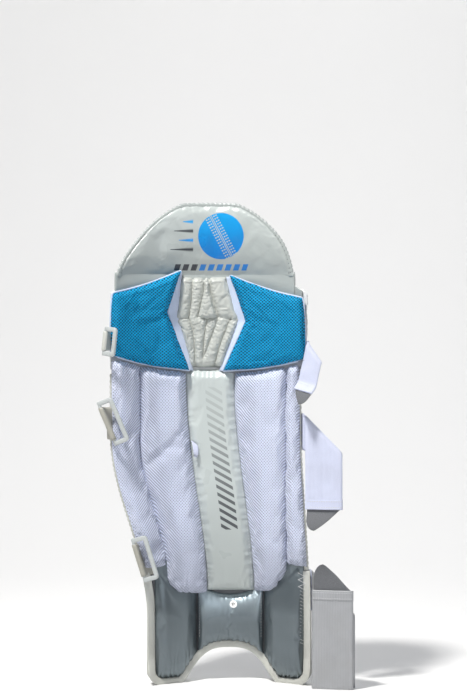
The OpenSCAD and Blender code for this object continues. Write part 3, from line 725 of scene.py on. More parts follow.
def net_look(hole_share, pitch, slope=1.0, soil=0.1, falling=0.3, rising=0.7, flat_share=0.0, glint=0.0):
    """Mesh fabric. Up to falling across the panel only the falling yarns show, from rising on only the rising ones."""

    def build(t, shader, colour):
        parts = t.split(t.node("ShaderNodeUVMap", uv_map="share").outputs[0])
        across = t.plus(parts.outputs[0], t.math("MULTIPLY_ADD", t.noise(t.object_place(), 25.0, 2), 0.3, -0.15))
        net = t.group(
            "Net", Place=t.flat(), Pitch=pitch, Slope=slope,
            Falling=t.spread(across, falling + 0.15, falling - 0.15, flat_share, 1.0),
            Rising=t.spread(across, rising - 0.15, rising + 0.15, flat_share, 1.0)
        )
        tone = t.noise(t.object_place(), 30.0, 3)
        worn = t.blend(t.spread(tone, 0.3, 0.7, 0.0, 0.35), colour, darker(colour, 0.86))
        dust_and_low_shade = t.blend(t.group("Soil", Place=t.object_place(), Amount=soil).outputs[0], worn, (0.4, 0.38, 0.34, 1))
        if not glint:
            # Painted shade: the mesh is painted darker towards the bottom of the pad, in place of the shade that falls
            # there.
            parts = t.split(t.flat())
            dust_and_low_shade = t.blend(t.spread(parts.outputs[1], 0.13, 0.25, 0.7, 0.0), dust_and_low_shade, darker(colour, 0.55))
        lit = t.blend(t.spread(net.outputs["Height"], 0.7, 1.0), dust_and_low_shade, darker(colour, glint)) if glint else dust_and_low_shade
        t.join(t.blend(net.outputs["Holes"], lit, darker(colour, hole_share)), shader.inputs["Base Color"])
        fuzz = t.noise(t.flat(), 2600.0, 2)
        return t.plus(net.outputs["Height"], t.times(fuzz, 0.2)), 0.0011, 0.8

    return build


def skin_look(grain=900.0, depth=0.00012, soil=0.15, rough=(0.3, 0.5), shade=0.88, dirt=(0.42, 0.40, 0.34, 1)):
    def build(t, shader, colour):
        skin = t.group("Grain", Place=t.object_place(), Scale=grain)
        toned = t.blend(t.spread(skin.outputs["Tone"], 0.2, 0.8), colour, darker(colour, shade))
        t.join(
            t.blend(t.group("Soil", Place=t.object_place(), Amount=soil).outputs[0], toned, dirt),
            shader.inputs["Base Color"]
        )
        t.join(t.spread(skin.outputs["Tone"], 0.2, 0.8, *rough), shader.inputs["Roughness"])
        creases = t.noise(t.object_place(), 150.0, 4, 0.6)
        return t.plus(skin.outputs["Height"], t.times(creases, 1.2)), depth, 0.6

    return build


def weave_look(ribs=900.0, rows=700.0, depth=0.0003, gap_share=0.7, soil=0.1):
    def build(t, shader, colour):
        cloth = t.group("Weave", Place=t.flat(), Ribs=ribs, Rows=rows)
        tone = t.noise(t.object_place(), 45.0, 3)
        base = t.blend(t.spread(tone, 0.3, 0.7, 0.0, 0.5), colour, darker(colour, 0.88))
        base = t.blend(t.group("Soil", Place=t.object_place(), Amount=soil).outputs[0], base, (0.45, 0.43, 0.38, 1))
        t.join(
            t.blend(t.times(cloth.outputs["Gaps"], 0.8), base, darker(colour, gap_share)), shader.inputs["Base Color"]
        )
        fuzz = t.noise(t.flat(), 3000.0, 2)
        return t.plus(cloth.outputs["Height"], t.times(fuzz, 0.5)), depth, 0.6

    return build


def instep_look(t, shader, colour):
    """Satin with a painted highlight that brightens the top of the instep."""
    height, depth, strength = skin_look(1300.0, 0.0001, 0.06, (0.38, 0.46), 0.88)(t, shader, colour)
    base = shader.inputs["Base Color"].links[0].from_socket
    parts = t.split(t.flat())
    # Painted highlight: the satin is painted up to 2.6 times brighter towards the top of the instep.
    painted_highlight = t.spread(parts.outputs[1], 0.082, 0.128, 0.0, 0.8)
    t.join(t.blend(painted_highlight, base, darker(colour, 2.6)), shader.inputs["Base Color"])
    return height, depth, strength


def lining_look(printed):
    """Pearl lining. printed is "ball" for the flap, "bars" for the centre strip."""

    def build(t, shader, colour):
        height, depth, strength = skin_look(1100.0, 0.0001, 0.02, (0.26, 0.34), 0.95)(t, shader, colour)
        base = shader.inputs["Base Color"].links[0].from_socket
        parts = t.split(t.flat())
        x, z = parts.outputs[0], parts.outputs[1]
        # Painted shade: the lining is painted darker towards the bottom, most at the flap's lower edge and at the foot
        # of the centre strip.
        painted_low_shade = t.spread(z, 0.605, 0.69, 0.95, 0.4) if printed == "ball" else t.spread(z, 0.15, 0.32, 0.75, 0.0)
        base = t.blend(painted_low_shade, base, darker(colour, 0.62))
        dark, blue = (*colours().print_dark, 1), (*colours().print_blue, 1)
        if printed == "ball":
            middle, centre_z, radius = 0.017, 0.651, 0.034
            across, up = t.minus(x, middle), t.minus(z, centre_z)
            away = t.math("SQRT", t.plus(t.math("POWER", across, 2.0), t.math("POWER", up, 2.0)))
            tilt = math.radians(28)
            beside = t.math("ABSOLUTE", t.plus(t.times(across, math.cos(tilt)), t.times(up, math.sin(tilt))))
            along = t.minus(t.times(up, math.cos(tilt)), t.times(across, math.sin(tilt)))
            marks = t.spread(t.math("ABSOLUTE", t.minus(beside, 0.0011)), 0.0007, 0.0004)
            dashes = t.spread(t.math("SINE", t.times(along, 2 * math.pi / 0.0042)), 0.0, 0.4)
            for row in (0.0043, 0.0078):
                marks = t.math(
                    "MAXIMUM", marks,
                    t.times(dashes, t.spread(t.math("ABSOLUTE", t.minus(beside, row)), 0.0014, 0.001))
                )
            inked = t.times(t.spread(away, radius, radius - 0.0006), t.minus(1.0, marks))
            ink = t.blend(t.spread(up, -0.034, 0.034), blue, (0.004, 0.32, 0.72, 1))
            base = t.blend(inked, base, ink)
            for k in range(4):  # tapered flight lines on the left of the ball
                line_z, start = centre_z + 0.021 - 0.0135 * k, -0.040 - 0.010 * (k % 2) - 0.003 * k
                near = t.spread(
                    t.math("ABSOLUTE", t.minus(z, line_z)), t.spread(x, start, -0.024, 0.0008, 0.0042), 0.0003
                )
                inside = t.times(t.spread(x, start, start + 0.002), t.spread(x, -0.0235, -0.0245))
                base = t.blend(t.times(near, inside), base, dark if k % 2 else ink)
            bar = t.spread(t.math("ABSOLUTE", t.minus(z, 0.6055)), 0.0048, 0.0043)
            lean = t.math("MULTIPLY_ADD", z, -0.35, x)
            dash = t.spread(t.math("SINE", t.times(lean, 2 * math.pi / 0.0125)), -0.55, -0.4)
            span = t.times(t.spread(lean, -0.264, -0.2635), t.spread(lean, -0.1555, -0.156))
            base = t.blend(
                t.times(t.times(bar, dash), span), base, t.blend(t.spread(lean, -0.2265, -0.2260), dark, ink)
            )
        else:
            centre = t.spread(z, 0.18, 0.44, 0.0315, 0.006)
            beside = t.math("ABSOLUTE", t.minus(x, centre))
            lean = t.plus(z, t.times(t.minus(x, centre), 0.6))
            bars = t.spread(t.math("SINE", t.times(lean, 2 * math.pi / 0.0115)), 0.0, 0.25)
            inside = t.times(
                t.spread(beside, 0.0125, 0.012), t.times(t.spread(z, 0.222, 0.2225), t.spread(z, 0.432, 0.43))
            )
            # Painted glare: the printed bars are painted paler towards the top of the strip.
            glare_fade = t.spread(z, 0.22, 0.45, 0.92, 0.12)
            base = t.blend(t.times(t.times(bars, inside), glare_fade), base, dark)
        t.join(base, shader.inputs["Base Color"])
        return height, depth, strength

    return build


def label_look(t, shader, colour):
    parts = t.split(t.flat())
    away = t.math("SQRT", t.plus(t.math("POWER", parts.outputs[0], 2.0), t.math("POWER", parts.outputs[1], 2.0)))
    dot = t.spread(away, 0.0024, 0.0020)
    ring = t.spread(t.math("ABSOLUTE", t.minus(away, 0.0047)), 0.0005, 0.0002)
    t.join(t.blend(t.math("MAXIMUM", dot, ring), colour, (0.45, 0.02, 0.03, 1)), shader.inputs["Base Color"])
    return t.noise(t.flat(), 2500.0, 2), 0.0001, 0.5


def hook_look(t, shader, colour):
    """Rows of small nylon hooks."""
    dots = t.node("ShaderNodeTexVoronoi", feature="F1")
    t.join(t.flat(), dots.inputs["Vector"])
    dots.inputs["Scale"].default_value = 750.0
    dots.inputs["Randomness"].default_value = 0.25
    height = t.spread(dots.outputs["Distance"], 0.5, 0.1)
    t.join(t.blend(height, darker(colour, 0.6), colour), shader.inputs["Base Color"])
    return height, 0.0007, 0.9


def buckle_look(t, shader, colour):
    scuffs = t.noise(t.object_place(), 260.0, 5, 0.65)
    t.join(t.blend(t.spread(scuffs, 0.5, 0.72), colour, darker(colour, 0.82)), shader.inputs["Base Color"])
    t.join(t.spread(scuffs, 0.35, 0.7, 0.28, 0.5), shader.inputs["Roughness"])
    return t.noise(t.object_place(), 900.0, 2), 0.00006, 0.4


def thread_look(t, shader, colour):
    wave = t.node("ShaderNodeTexWave", wave_type="BANDS", bands_direction="DIAGONAL")
    t.join(t.object_place(), wave.inputs["Vector"])
    wave.inputs["Scale"].default_value = 900.0
    t.join(t.blend(wave.outputs["Fac"], darker(colour, 0.8), colour), shader.inputs["Base Color"])
    return wave.outputs["Fac"], 0.0002, 0.5


def floor_look(t, shader, colour):
    tone = t.noise(t.object_place(), 1.2, 3)
    t.join(t.blend(t.spread(tone, 0.3, 0.7, 0.0, 0.5), colour, darker(colour, 0.985)), shader.inputs["Base Color"])
    return t.noise(t.object_place(), 60.0, 3), 0.0003, 0.1


def open_behind(backdrop):
    """Lets a view from behind the backdrop see through it."""
    nodes, links = backdrop.node_tree.nodes, backdrop.node_tree.links
    end = next(node for node in nodes if node.type == "OUTPUT_MATERIAL")
    solid = end.inputs["Surface"].links[0].from_socket
    side, clear, either = (
        nodes.new("ShaderNodeNewGeometry"), nodes.new("ShaderNodeBsdfTransparent"), nodes.new("ShaderNodeMixShader")
    )
    links.new(side.outputs["Backfacing"], either.inputs[0])
    links.new(solid, either.inputs[1])
    links.new(clear.outputs[0], either.inputs[2])
    links.new(either.outputs[0], end.inputs["Surface"])


def make_materials():
    c = colours()
    size = sizes()
    material(
        "left net", c.net, 0.75, net_look(0.5, size.net_pitch, falling=-0.5, rising=0.42), Sheen_Weight=0.2,
        Sheen_Roughness=0.5
    )
    material(
        "net", c.net, 0.75, net_look(0.5, size.net_pitch, falling=0.42, rising=0.88), Sheen_Weight=0.2,
        Sheen_Roughness=0.5
    )
    material(
        "wing net", c.wing, 0.62, net_look(0.16, size.wing_net_pitch, 0.8, 0.0, -0.5, 1.5, glint=1.45),
        Specular_IOR_Level=0.2
    )
    # Painted shade: the dark board cloth stands in for the shade in the seams between the panels.
    material("seam shade board cloth", c.board, 0.85, weave_look(900.0, 900.0, 0.0002, 0.8))
    material("flap lining", c.lining, 0.3, lining_look("ball"), Coat_Weight=0.15, Coat_Roughness=0.2)
    material("strip lining", c.lining, 0.3, lining_look("bars"), Coat_Weight=0.15, Coat_Roughness=0.2)
    material(
        "plain lining", darker(c.lining, 0.66)[:3], 0.3, skin_look(1100.0, 0.0001, 0.02, (0.26, 0.34), 0.95),
        Coat_Weight=0.15, Coat_Roughness=0.2
    )
    material(
        "silver satin", c.silver, 0.42, skin_look(1300.0, 0.00010, 0.06, (0.38, 0.46), 0.88), Metallic=0.8,
        Specular_IOR_Level=0.8
    )
    material("instep satin", c.silver, 0.42, instep_look, Metallic=0.8, Specular_IOR_Level=0.8)
    material("cup skin", c.cream, 0.45, skin_look(800.0, 0.00016, 0.12, (0.38, 0.55), 0.92))
    material("cover skin", c.cover, 0.4, skin_look(800.0, 0.00016, 0.16, (0.34, 0.5), 0.93))
    material("binding skin", c.binding, 0.42, skin_look(900.0, 0.00014, 0.3, (0.34, 0.5), 0.9))
    material("tab skin", c.tab, 0.45, skin_look(900.0, 0.00014, 0.2, (0.36, 0.5), 0.86))
    material("knit", c.knit, 0.8, weave_look(1100.0, 800.0, 0.0002, 0.8), Sheen_Weight=0.3)
    material("welt knit", c.welt, 0.7, weave_look(900.0, 700.0, 0.0003, 0.6), Sheen_Weight=0.3)
    material("webbing", c.strap, 0.72, weave_look(520.0, 640.0, 0.00045, 0.66, 0.12), Sheen_Weight=0.3)
    material("satin webbing", c.ankle_strap, 0.42, weave_look(260.0, 900.0, 0.0002, 0.8, 0.15), Metallic=0.3)
    material("hook tape", c.hook, 0.55, hook_look)
    material("tab back", c.binding, 0.5, skin_look(900.0, 0.00012, 0.1, (0.42, 0.55), 0.93))
    material("hem", c.strap, 0.7, weave_look(700.0, 900.0, 0.00035, 0.7, 0.15), Sheen_Weight=0.2)
    material("buckle plastic", c.buckle, 0.35, buckle_look, Coat_Weight=0.1)
    material("thread", c.thread, 0.6, thread_look)
    material("dark thread", darker(c.thread, 0.25)[:3], 0.6, thread_look)
    material("label", (0.3, 0.31, 0.32), 0.6, label_look)
    material("floor", c.floor, 0.85, floor_look)
    open_behind(look("floor"))


def look(name):
    return bpy.data.materials[name]


# ---------------------------------------------------------------- shapes of the pieces


def strip_left(z):
    return mix(29, -2, smooth(120, 440, z)) - 33


def strip_right(z):
    return mix(33, 4, smooth(120, 440, z)) + 33


def left_groove(z):
    return mix(-62, -101, smooth(150, 360, z))


def right_groove(z):
    return mix(113, 112, smooth(150, 300, z))


def between(left, right, low, high):
    def place(u, v):
        z = mix(low, high, v)
        return mix(left(z), right(z), u), z

    return place


BASE = 2.4  # where the inside padding starts, off the middle of the backing
# For each side: heights and offsets of the wing's notched edge at its foot, notch and tip, and heights and offsets
# of its outer edge.
WING = {
    -1: dict(inner=((455, 28), (541, 60), (601, 40)), outer=(479, 569), reach=(142.5, 140.8)),
    1: dict(inner=((454, 20), (527.5, 54), (594, 31)), outer=(473, 562), reach=(141.5, 138)),
}


def wing_foot(x):
    """Height of the lower edge of the wing above x."""
    side = np.where(x < -1, -1, 1)
    low, start, high, end = [np.where(side < 0, a, b) for a, b in zip((455, 28, 479, 142.5), (454, 20, 473, 141.5))]
    u = np.clip((np.abs(x + 1) - start) / (end - start), 0, 1)
    return mix(low, high, u**0.85) - 5 * np.sin(np.pi * u)


def wing_place(side):
    """Place on a knee wing. u runs outwards from the notched edge and v runs up."""
    rule = WING[side]
    heights = [h for h, _ in rule["inner"]]
    offsets = [o for _, o in rule["inner"]]
    notch = (heights[1] - heights[0]) / (heights[2] - heights[0])

    def place(u, v):
        inner_z = mix(heights[0], heights[2], v)
        inner_x = np.interp(v, [0, notch, 1], offsets)
        outer_z = mix(*rule["outer"], v)
        outer_x = mix(*rule["reach"], v) - 2 * np.abs(2 * v - 1) ** 4
        z = mix(inner_z, outer_z, u ** mix(0.85, 1.1, v)) + np.sin(np.pi * u) * mix(-5, -4, v)
        return -1 + side * mix(inner_x, outer_x, u), z

    return place


def wing_rim(side):
    """The wing's outline as [x, z], and how far outwards each of its points is."""
    place = wing_place(side)
    line = np.linspace(0, 1, 60)[:-1]
    u = np.concatenate([1 - line, 0 * line, line, 1 + 0 * line])
    v = np.concatenate([0 * line, line, 1 + 0 * line, 1 - line])
    return np.stack(place(u, v), -1), u


def softened(path, step, width):
    """A closed path with points every step, its corners rounded over about twice the width."""
    path = resample(np.vstack([path, path[:1]]), step)[:-1]
    reach = max(1, int(round(width / step)))
    weights = 1 + np.cos(np.pi * np.arange(-reach, reach + 1) / (reach + 1))
    return sum(w * np.roll(path, k, axis=0) for w, k in zip(weights / weights.sum(), range(-reach, reach + 1)))


def flap_half(z):
    return 131 * np.sqrt(np.clip(1 - (np.clip(z - 583, 0, None) / (PAD_TOP - 579)) ** 1.6, 0, 1))


def flap_mid(z):
    return mix(-6, 0.5, smooth(590, 655, z))


def flap_place(edge):
    def place(u, v):
        z = mix(KNEE_TOP + 2, PAD_TOP - edge, v)
        return mix(-1, 1, u) * np.maximum(4, flap_half(z + edge * 0.2) - edge) + flap_mid(z), z

    return place


def flap_rim():
    rise = np.sin(np.linspace(0, 0.92, 40) * np.pi / 2) ** 1.1
    z = mix(KNEE_TOP + 2, PAD_TOP - 4, rise)
    right = np.stack([flap_half(z) - 5, z], -1)
    end = right[-1]
    top = [[end[0] * math.cos(a), mix(end[1], PAD_TOP - 4, math.sin(a))] for a in np.linspace(0.15, math.pi - 0.15, 24)]
    left = right[::-1] * [-1, 1]
    line = np.concatenate([right, top, left])
    return line + np.stack([flap_mid(line[:, 1]), 0 * line[:, 1]], -1)


def foot_rim():
    """The pad's lower outline as [x, z], from the left side round both feet to the right side."""
    left, right, corner, rim = left_edge(0), right_edge(0), CORNER, 4
    down = [[left_edge(z) + rim, z] for z in np.linspace(166, 22, 24)]
    turn = lambda centre, a0, a1: [
        [centre + (corner - rim) * math.cos(a), corner + (corner - rim) * math.sin(a)]
        for a in np.linspace(a0, a1, 12)
    ]
    x = np.linspace(left + corner + 1, right - corner - 1, 120)
    floor = np.stack([x, lower_edge(x) + rim], -1)
    up = [[right_edge(z) - rim, z] for z in np.linspace(22, 166, 24)]
    return np.concatenate(
        [
            down, turn(left + corner, math.pi, 1.5 * math.pi), floor,
            turn(right - corner, 1.5 * math.pi, 2 * math.pi), up
        ]
    )


def foot_depth(x, z):
    m = np.abs(x - mid_at(0))
    return smooth(46, 66, m) * (1 - smooth(14, 44, z))


def edge_bead(name, path, ring, skin, leg_scale=None, front_scale=None, scallop=0.0, pitch=7.0):
    """Edging that follows a path of [x, z]. ring is a closed list of [out, t], and out is to the path's right."""
    path = resample(path, 1.8)
    ahead = np.gradient(path, axis=0)
    ahead /= np.linalg.norm(ahead, axis=1, keepdims=True)
    out = np.stack([ahead[:, 1], -ahead[:, 0]], -1)
    run = run_along(path)
    leg = np.ones(len(path)) if leg_scale is None else leg_scale(path[:, 0], path[:, 1])
    front = np.ones(len(path)) if front_scale is None else front_scale(path[:, 0], path[:, 1])
    pinch = 1 - scallop * np.abs(np.cos(np.pi * run / pitch + 0.4 * cloud(run / 23, 0 * run, 5))) ** 6
    rows = []
    for o, t in ring:
        wide = np.where(o > 0, o * pinch, o) if scallop else o
        rows.append(
            on_pad(
                path[:, 0] + wide * out[:, 0], path[:, 1] + wide * out[:, 1],
                t * np.where(t > 0, leg, front) * (pinch if scallop else 1)
            )
        )
    points = np.stack(rows, 1)
    sides = len(ring)
    faces = grid_faces(sides, len(path), wrap=True).tolist()
    faces += end_caps(sides, len(path))
    around = run_along(np.array(ring))
    flat = np.stack(np.meshgrid(around, run), -1).reshape(-1, 2)
    return new_piece(name, points.reshape(-1, 3), faces, look(skin), flat)


# ---------------------------------------------------------------- operators


class PadOperator(bpy.types.Operator):
    """Common ground of the sewing steps"""

    bl_options = {"REGISTER", "UNDO"}

    def execute(self, context):
        self.sew(sizes())
        return {"FINISHED"}


class LEGPAD_OT_materials(PadOperator):
    """Makes the shared effects and every material"""

    bl_idname = "legpad.materials"
    bl_label = "Materials"

    def sew(self, size):
        make_effects()
        make_materials()


class LEGPAD_OT_front(PadOperator):
    """Sews the front of the shin over its upright rolls, and the board behind them"""

    bl_idname = "legpad.front"
    bl_label = "Shin Front"

    def sew(self, size):
        flange, count, height = 0.085, size.roll_count, size.roll_height / M

        def place(u, v):
            foot = lower_edge(mix(left_edge(0) + 9, right_edge(0) - 9, u)) + 9
            z = mix(foot, SHIN_TOP - 3, v)
            return mix(left_edge(z) + 9, right_edge(z) - 9, u), z

        def rolls(u, v):
            s = (u - flange) / (1 - 2 * flange) * count
            round_roll = np.where((s <= 0) | (s >= count), 0, np.abs(np.sin(np.pi * s)) ** 0.55)
            ends = ramp(v, 0.05, 0.6) * ramp(1 - v, 0.035, 0.6)
            return (
                height * round_roll * (1 - 0.25 * np.abs(2 * s / count - 1) ** 3 * (np.abs(2 * s / count - 1) < 1))
                * ends
            )

        def detail(u, v, x, z):
            s = (u - flange) / (1 - 2 * flange) * count
            near_seam = bell(np.abs(s - np.round(s)), 0.16) * (s > -0.2) * (s < count + 0.2)
            tucks = wave(z / 11 + 0.5 * cloud(z / 30, np.round(s), 3)) * near_seam * 0.35
            gathers = (
                np.sin(2 * np.pi * x / 8 + 2 * cloud(x / 20, z / 30, 9))
                * (np.exp(-v / 0.03) + np.exp(-(1 - v) / 0.025)) * 0.7
            )
            return tucks + gathers + 0.5 * cloud(x / 26, z / 50, 4)

        cover = panel(
            "shin_front", place, lambda u, v, x, z: -3.2 - rolls(u, v), level(-2.0), (230, 130), look("cover skin"),
            FRONT, detail=detail
        )
        finish_piece(cover, "shin", ["shin_front_cover", *(f"shin_roll_{k + 1}" for k in range(7))])
        board = panel("shin_board", place, level(2.2), level(-1.6), (60, 60), look("seam shade board cloth"))
        finish_piece(board, "shin", ["shin_backing"])
        runs = []
        for k in range(count + 1):
            u = flange + (1 - 2 * flange) * k / count
            line = np.stack(place(np.full(60, u), np.linspace(0.03, 0.97, 60)), -1)
            runs.append(stitch_line(line, cover, FRONT))
        for v, u0, u1 in ((0.012, 0.03, 0.97), (0.985, 0.03, 0.97)):
            line = np.stack(place(np.linspace(u0, u1, 90), np.full(90, v)), -1)
            runs.append(stitch_line(line, cover, FRONT))
        finish_piece(stitches("shin_front_stitching", runs, look("thread")), "shin")


class LEGPAD_OT_bolsters(PadOperator):
    """Sews the four mesh bolsters down the inside of the shin"""

    bl_idname = "legpad.bolsters"
    bl_label = "Mesh Bolsters"

    def sew(self, size):
        wide, narrow = size.bolster_height / M, size.narrow_height / M
        rules = (
            (
                "outer_left_bolster", lambda z: left_edge(z) + 2, lambda z: left_groove(z) + 1.5, 170, narrow,
                "left net", 1
            ),
            (
                "inner_left_bolster", lambda z: left_groove(z) - 1.5 + 14 * smooth(154, 126, z),
                lambda z: strip_left(z) + 1, 129, wide, "net", 2
            ),
            (
                "inner_right_bolster", lambda z: strip_right(z) - 1,
                lambda z: right_groove(z) + 1.5 - 16 * smooth(170, 128, z), 132, wide, "net", 3
            ),
            (
                "outer_right_bolster", lambda z: right_groove(z) - 1.5, lambda z: right_edge(z) - 2, 172, narrow,
                "net", 4
            ),
        )
        for name, left, right, low, height, cloth, seed in rules:
            def place(u, v):
                head = wing_foot(mix(left(SHIN_TOP), right(SHIN_TOP), u))
                z = mix(low, head - 5 + 3 * crown(u, 3), v)
                return mix(left(z), right(z), u), z

            def face(u, v, x, z):
                width, tall = right(z) - left(z), SHIN_TOP - low
                sides = both_sides(u, width, 15, 0.62)
                ends = ramp(v * tall + 1, 14, 0.7) * ramp((1 - v) * tall, 15, 0.6)
                return BASE + 0.8 + height * sides * ends * (1 + 0.05 * cloud(x / 30, z / 60, seed))

            def detail(u, v, x, z):
                tall = SHIN_TOP - low
                near = np.exp(-((v * tall) / 18)) + np.exp(-(((1 - v) * tall) / 14))
                gathers = wave(x / 9.5 + 0.3 * cloud(x / 14, z / 30, seed + 7)) * near
                side = np.minimum(u, 1 - u) * (right(z) - left(z))
                tucks = (
                    wave(z / 9 + 0.6 * cloud(z / 20, np.round(u), seed + 5)) * bell(side - 4, 5) * smooth(0.5, 0.1, v)
                )
                return (
                    0.9 * gathers * ramp(v * tall, 8) * ramp((1 - v) * tall, 8) + 0.45 * tucks
                    + 0.4 * cloud(x / 18, z / 40, seed + 3)
                )

            piece = panel(name, place, face, level(BASE), (56, 150), look(cloth),
                          cloth=dict(pressure=2.5, slack=0.012, cap=2.4), detail=detail)
            nodes = [name, "bolster_foams"] if name == "inner_left_bolster" else [name]
            finish_piece(piece, "shin", nodes)


class LEGPAD_OT_strip(PadOperator):
    """Sews the smooth strip down the middle of the inside, with its pull tag"""

    bl_idname = "legpad.strip"
    bl_label = "Centre Strip"

    def sew(self, size):
        height, low, high = size.strip_height / M, 133, SHIN_TOP + 1
        place = between(lambda z: strip_left(z) - 0.5, lambda z: strip_right(z) + 0.5, low, high)

        def face(u, v, x, z):
            width, tall = 68, high - low
            return (
                BASE + 0.8
                + height * both_sides(u, width, 17, 0.6) * ramp(v * tall + 1, 6, 0.6) * ramp((1 - v) * tall, 16, 0.6)
            )

        def detail(u, v, x, z):
            tall = high - low
            from_foot, from_head = v * tall, (1 - v) * tall
            fan = wave(u * 9 + 0.5 * cloud(u * 4, z / 40, 21))
            side = np.minimum(u, 1 - u) * 68
            gathers = (
                fan * (1.2 * np.exp(-from_foot / 16) * np.exp(-side / 18) + 0.3 * np.exp(-from_head / 16))
                * ramp(from_foot, 6) * ramp(from_head, 6)
            )
            tucks = wave(z / 13 + 0.6 * cloud(z / 25, np.round(u), 22)) * bell(side - 5, 7) * 0.4
            return gathers + tucks + 0.45 * cloud(x / 34, z / 70, 23, 1)

        strip = panel("centre_strip", place, face, level(BASE), (72, 190), look("strip lining"),
                      cloth=dict(pressure=2.0, slack=0.005, cap=1.1), detail=detail)
        finish_piece(strip, "shin", ["shin_centre_pad", "shin_centre_foam"])
        z = np.linspace(low + 8, high - 8, 90)
        runs = [stitch_line(np.stack([edge, z], -1), strip) for edge in (strip_left(z) + 3.2, strip_right(z) - 3.2)]
        finish_piece(stitches("centre_strip_stitching", runs, look("thread"), 2.6, 0.36), "shin")
        # A folded end of tape that stands out of the left seam.
        at = 346.0
        base = on_pad(strip_left(at), at, BASE + 9)
        rows = []
        for out, drop, half in ((0, 4, 4.6), (5, 2, 5.4), (9, -4, 5.2), (10, -11, 4.6), (8, -17, 2.4)):
            rows.append(
                [
                    base + np.array([5 + out * 0.35 + half * f * 0.8, -out * 0.8, drop - half * f * 0.5])
                    for f in np.linspace(-1, 1, 7)
                ]
            )
        tag = ribbon("pull_tag", np.array(rows), 1.2, look("hem"))
        finish_piece(tag, "shin")


class LEGPAD_OT_ankle(PadOperator):
    """Sews the satin ankle pads and the instep over the boot, with its size tag"""

    bl_idname = "legpad.ankle"
    bl_label = "Ankle and Instep"

    def sew(self, size):
        height, seam_left, seam_right = size.ankle_height / M, -19.0, 80.0
        for name, x0, x1, nodes, seed in (
            ("left_ankle_pad", left_edge(0) + 7.5, seam_left, ["left_ankle_pad", "ankle_foams"], 31),
            ("right_ankle_pad", seam_right, right_edge(0) - 7.5, ["right_ankle_pad"], 35),
        ):

            def place(u, v, x0=x0, x1=x1):
                x = mix(x0, x1, u)
                return x, mix(lower_edge(x) + 7, 178, v)

            def face(u, v, x, z):
                from_foot = z - lower_edge(x) - 7
                thin = 1 - 0.6 * smooth(100, 165, z)
                return BASE + 0.8 + height * both_sides(u, 56, 17, 0.6) * ramp(from_foot, 15, 0.55) * thin

            def detail(u, v, x, z, seed=seed):
                from_foot = z - lower_edge(x) - 7
                gathers = wave(x / 7 + 0.4 * cloud(x / 12, z / 30, seed)) * np.exp(-from_foot / 14) * ramp(from_foot, 4)
                return 1.2 * gathers + 0.3 * cloud(x / 34, z / 70, seed + 2, 1)

            pad = panel(name, place, face, level(BASE), (84, 150), look("silver satin"),
                        cloth=dict(pressure=2.0, slack=0.003, cap=0.9), detail=detail)
            finish_piece(pad, "shin", nodes)

        def place(u, v):
            x = mix(seam_left + 1.5, seam_right - 1.5, u)
            top = 139 - 13 * np.sin(np.pi * u)
            return x, mix(lower_edge(x) + 7, top, v)

        def face(u, v, x, z):
            from_foot = z - lower_edge(x) - 7
            top = 139 - 13 * np.sin(np.pi * u)
            return BASE + 0.8 + 13 * both_sides(u, 98, 14) * ramp(from_foot, 12) * ramp(top - z, 40, 0.75)

        def detail(u, v, x, z):
            top = 139 - 13 * np.sin(np.pi * u)
            hang = (
                wave(x / 8.5 + 0.5 * cloud(x / 15, z / 25, 41))
                * (0.22 * np.exp(-(top - z) / 12) * ramp(top - z, 5) + 0.8 * np.exp(-(z - lower_edge(x) - 7) / 9))
            )
            creases = bell(np.abs(x - 30 - 3 * cloud(z / 12, 0 * z, 42)), 2.2) * -0.9 * smooth(125, 100, z)
            return 1.1 * hang + creases + 0.3 * cloud(x / 22, z / 30, 43)

        instep = panel("instep_pad", place, face, level(BASE), (110, 84), look("instep satin"),
                       cloth=dict(pressure=2.0, slack=0.003, cap=0.9), detail=detail)
        finish_piece(instep, "shin", ["instep_panel", "instep_foam"])
        centre, normals, _ = land([[35.0, 112.0]], instep, lift=0.25)
        rings, count = (0, 2, 3.6, 4.7, 5.3, 5.45), 32
        angle = np.linspace(0, 2 * np.pi, count, endpoint=False)
        spots = [[35 + r * math.cos(a), 112 + r * math.sin(a)] for r in rings[1:] for a in angle]
        points, normal, _ = land(spots, instep, lift=0.45)
        points[-count:] -= normal[-count:] * 0.5
        centre = centre + normals * 0.45
        faces = (
            [[0, 1 + (i + 1) % count, 1 + i] for i in range(count)]
            + (grid_faces(count, len(rings) - 1, 1, flip=True, wrap=True)).tolist()
        )
        tag = new_piece("size_tag", np.concatenate([centre, points]), [f[::-1] for f in faces], look("label"),
                        [[0, 0]] + [[x - 35, z - 112] for x, z in spots])
        finish_piece(tag, "shin", ["size_label"])
        runs = [stitch_line([[seam, 66], [seam, 128]], instep) for seam in (seam_left + 4, seam_right - 4)]
        x = np.linspace(seam_left + 5, seam_right - 5, 60)
        runs.append(
            stitch_line(
                np.stack([x, 136.5 - 13 * np.sin(np.pi * (x - seam_left) / (seam_right - seam_left))], -1), instep
            )
        )
        finish_piece(stitches("instep_stitching", runs, look("thread"), 2.6, 0.36), "shin")


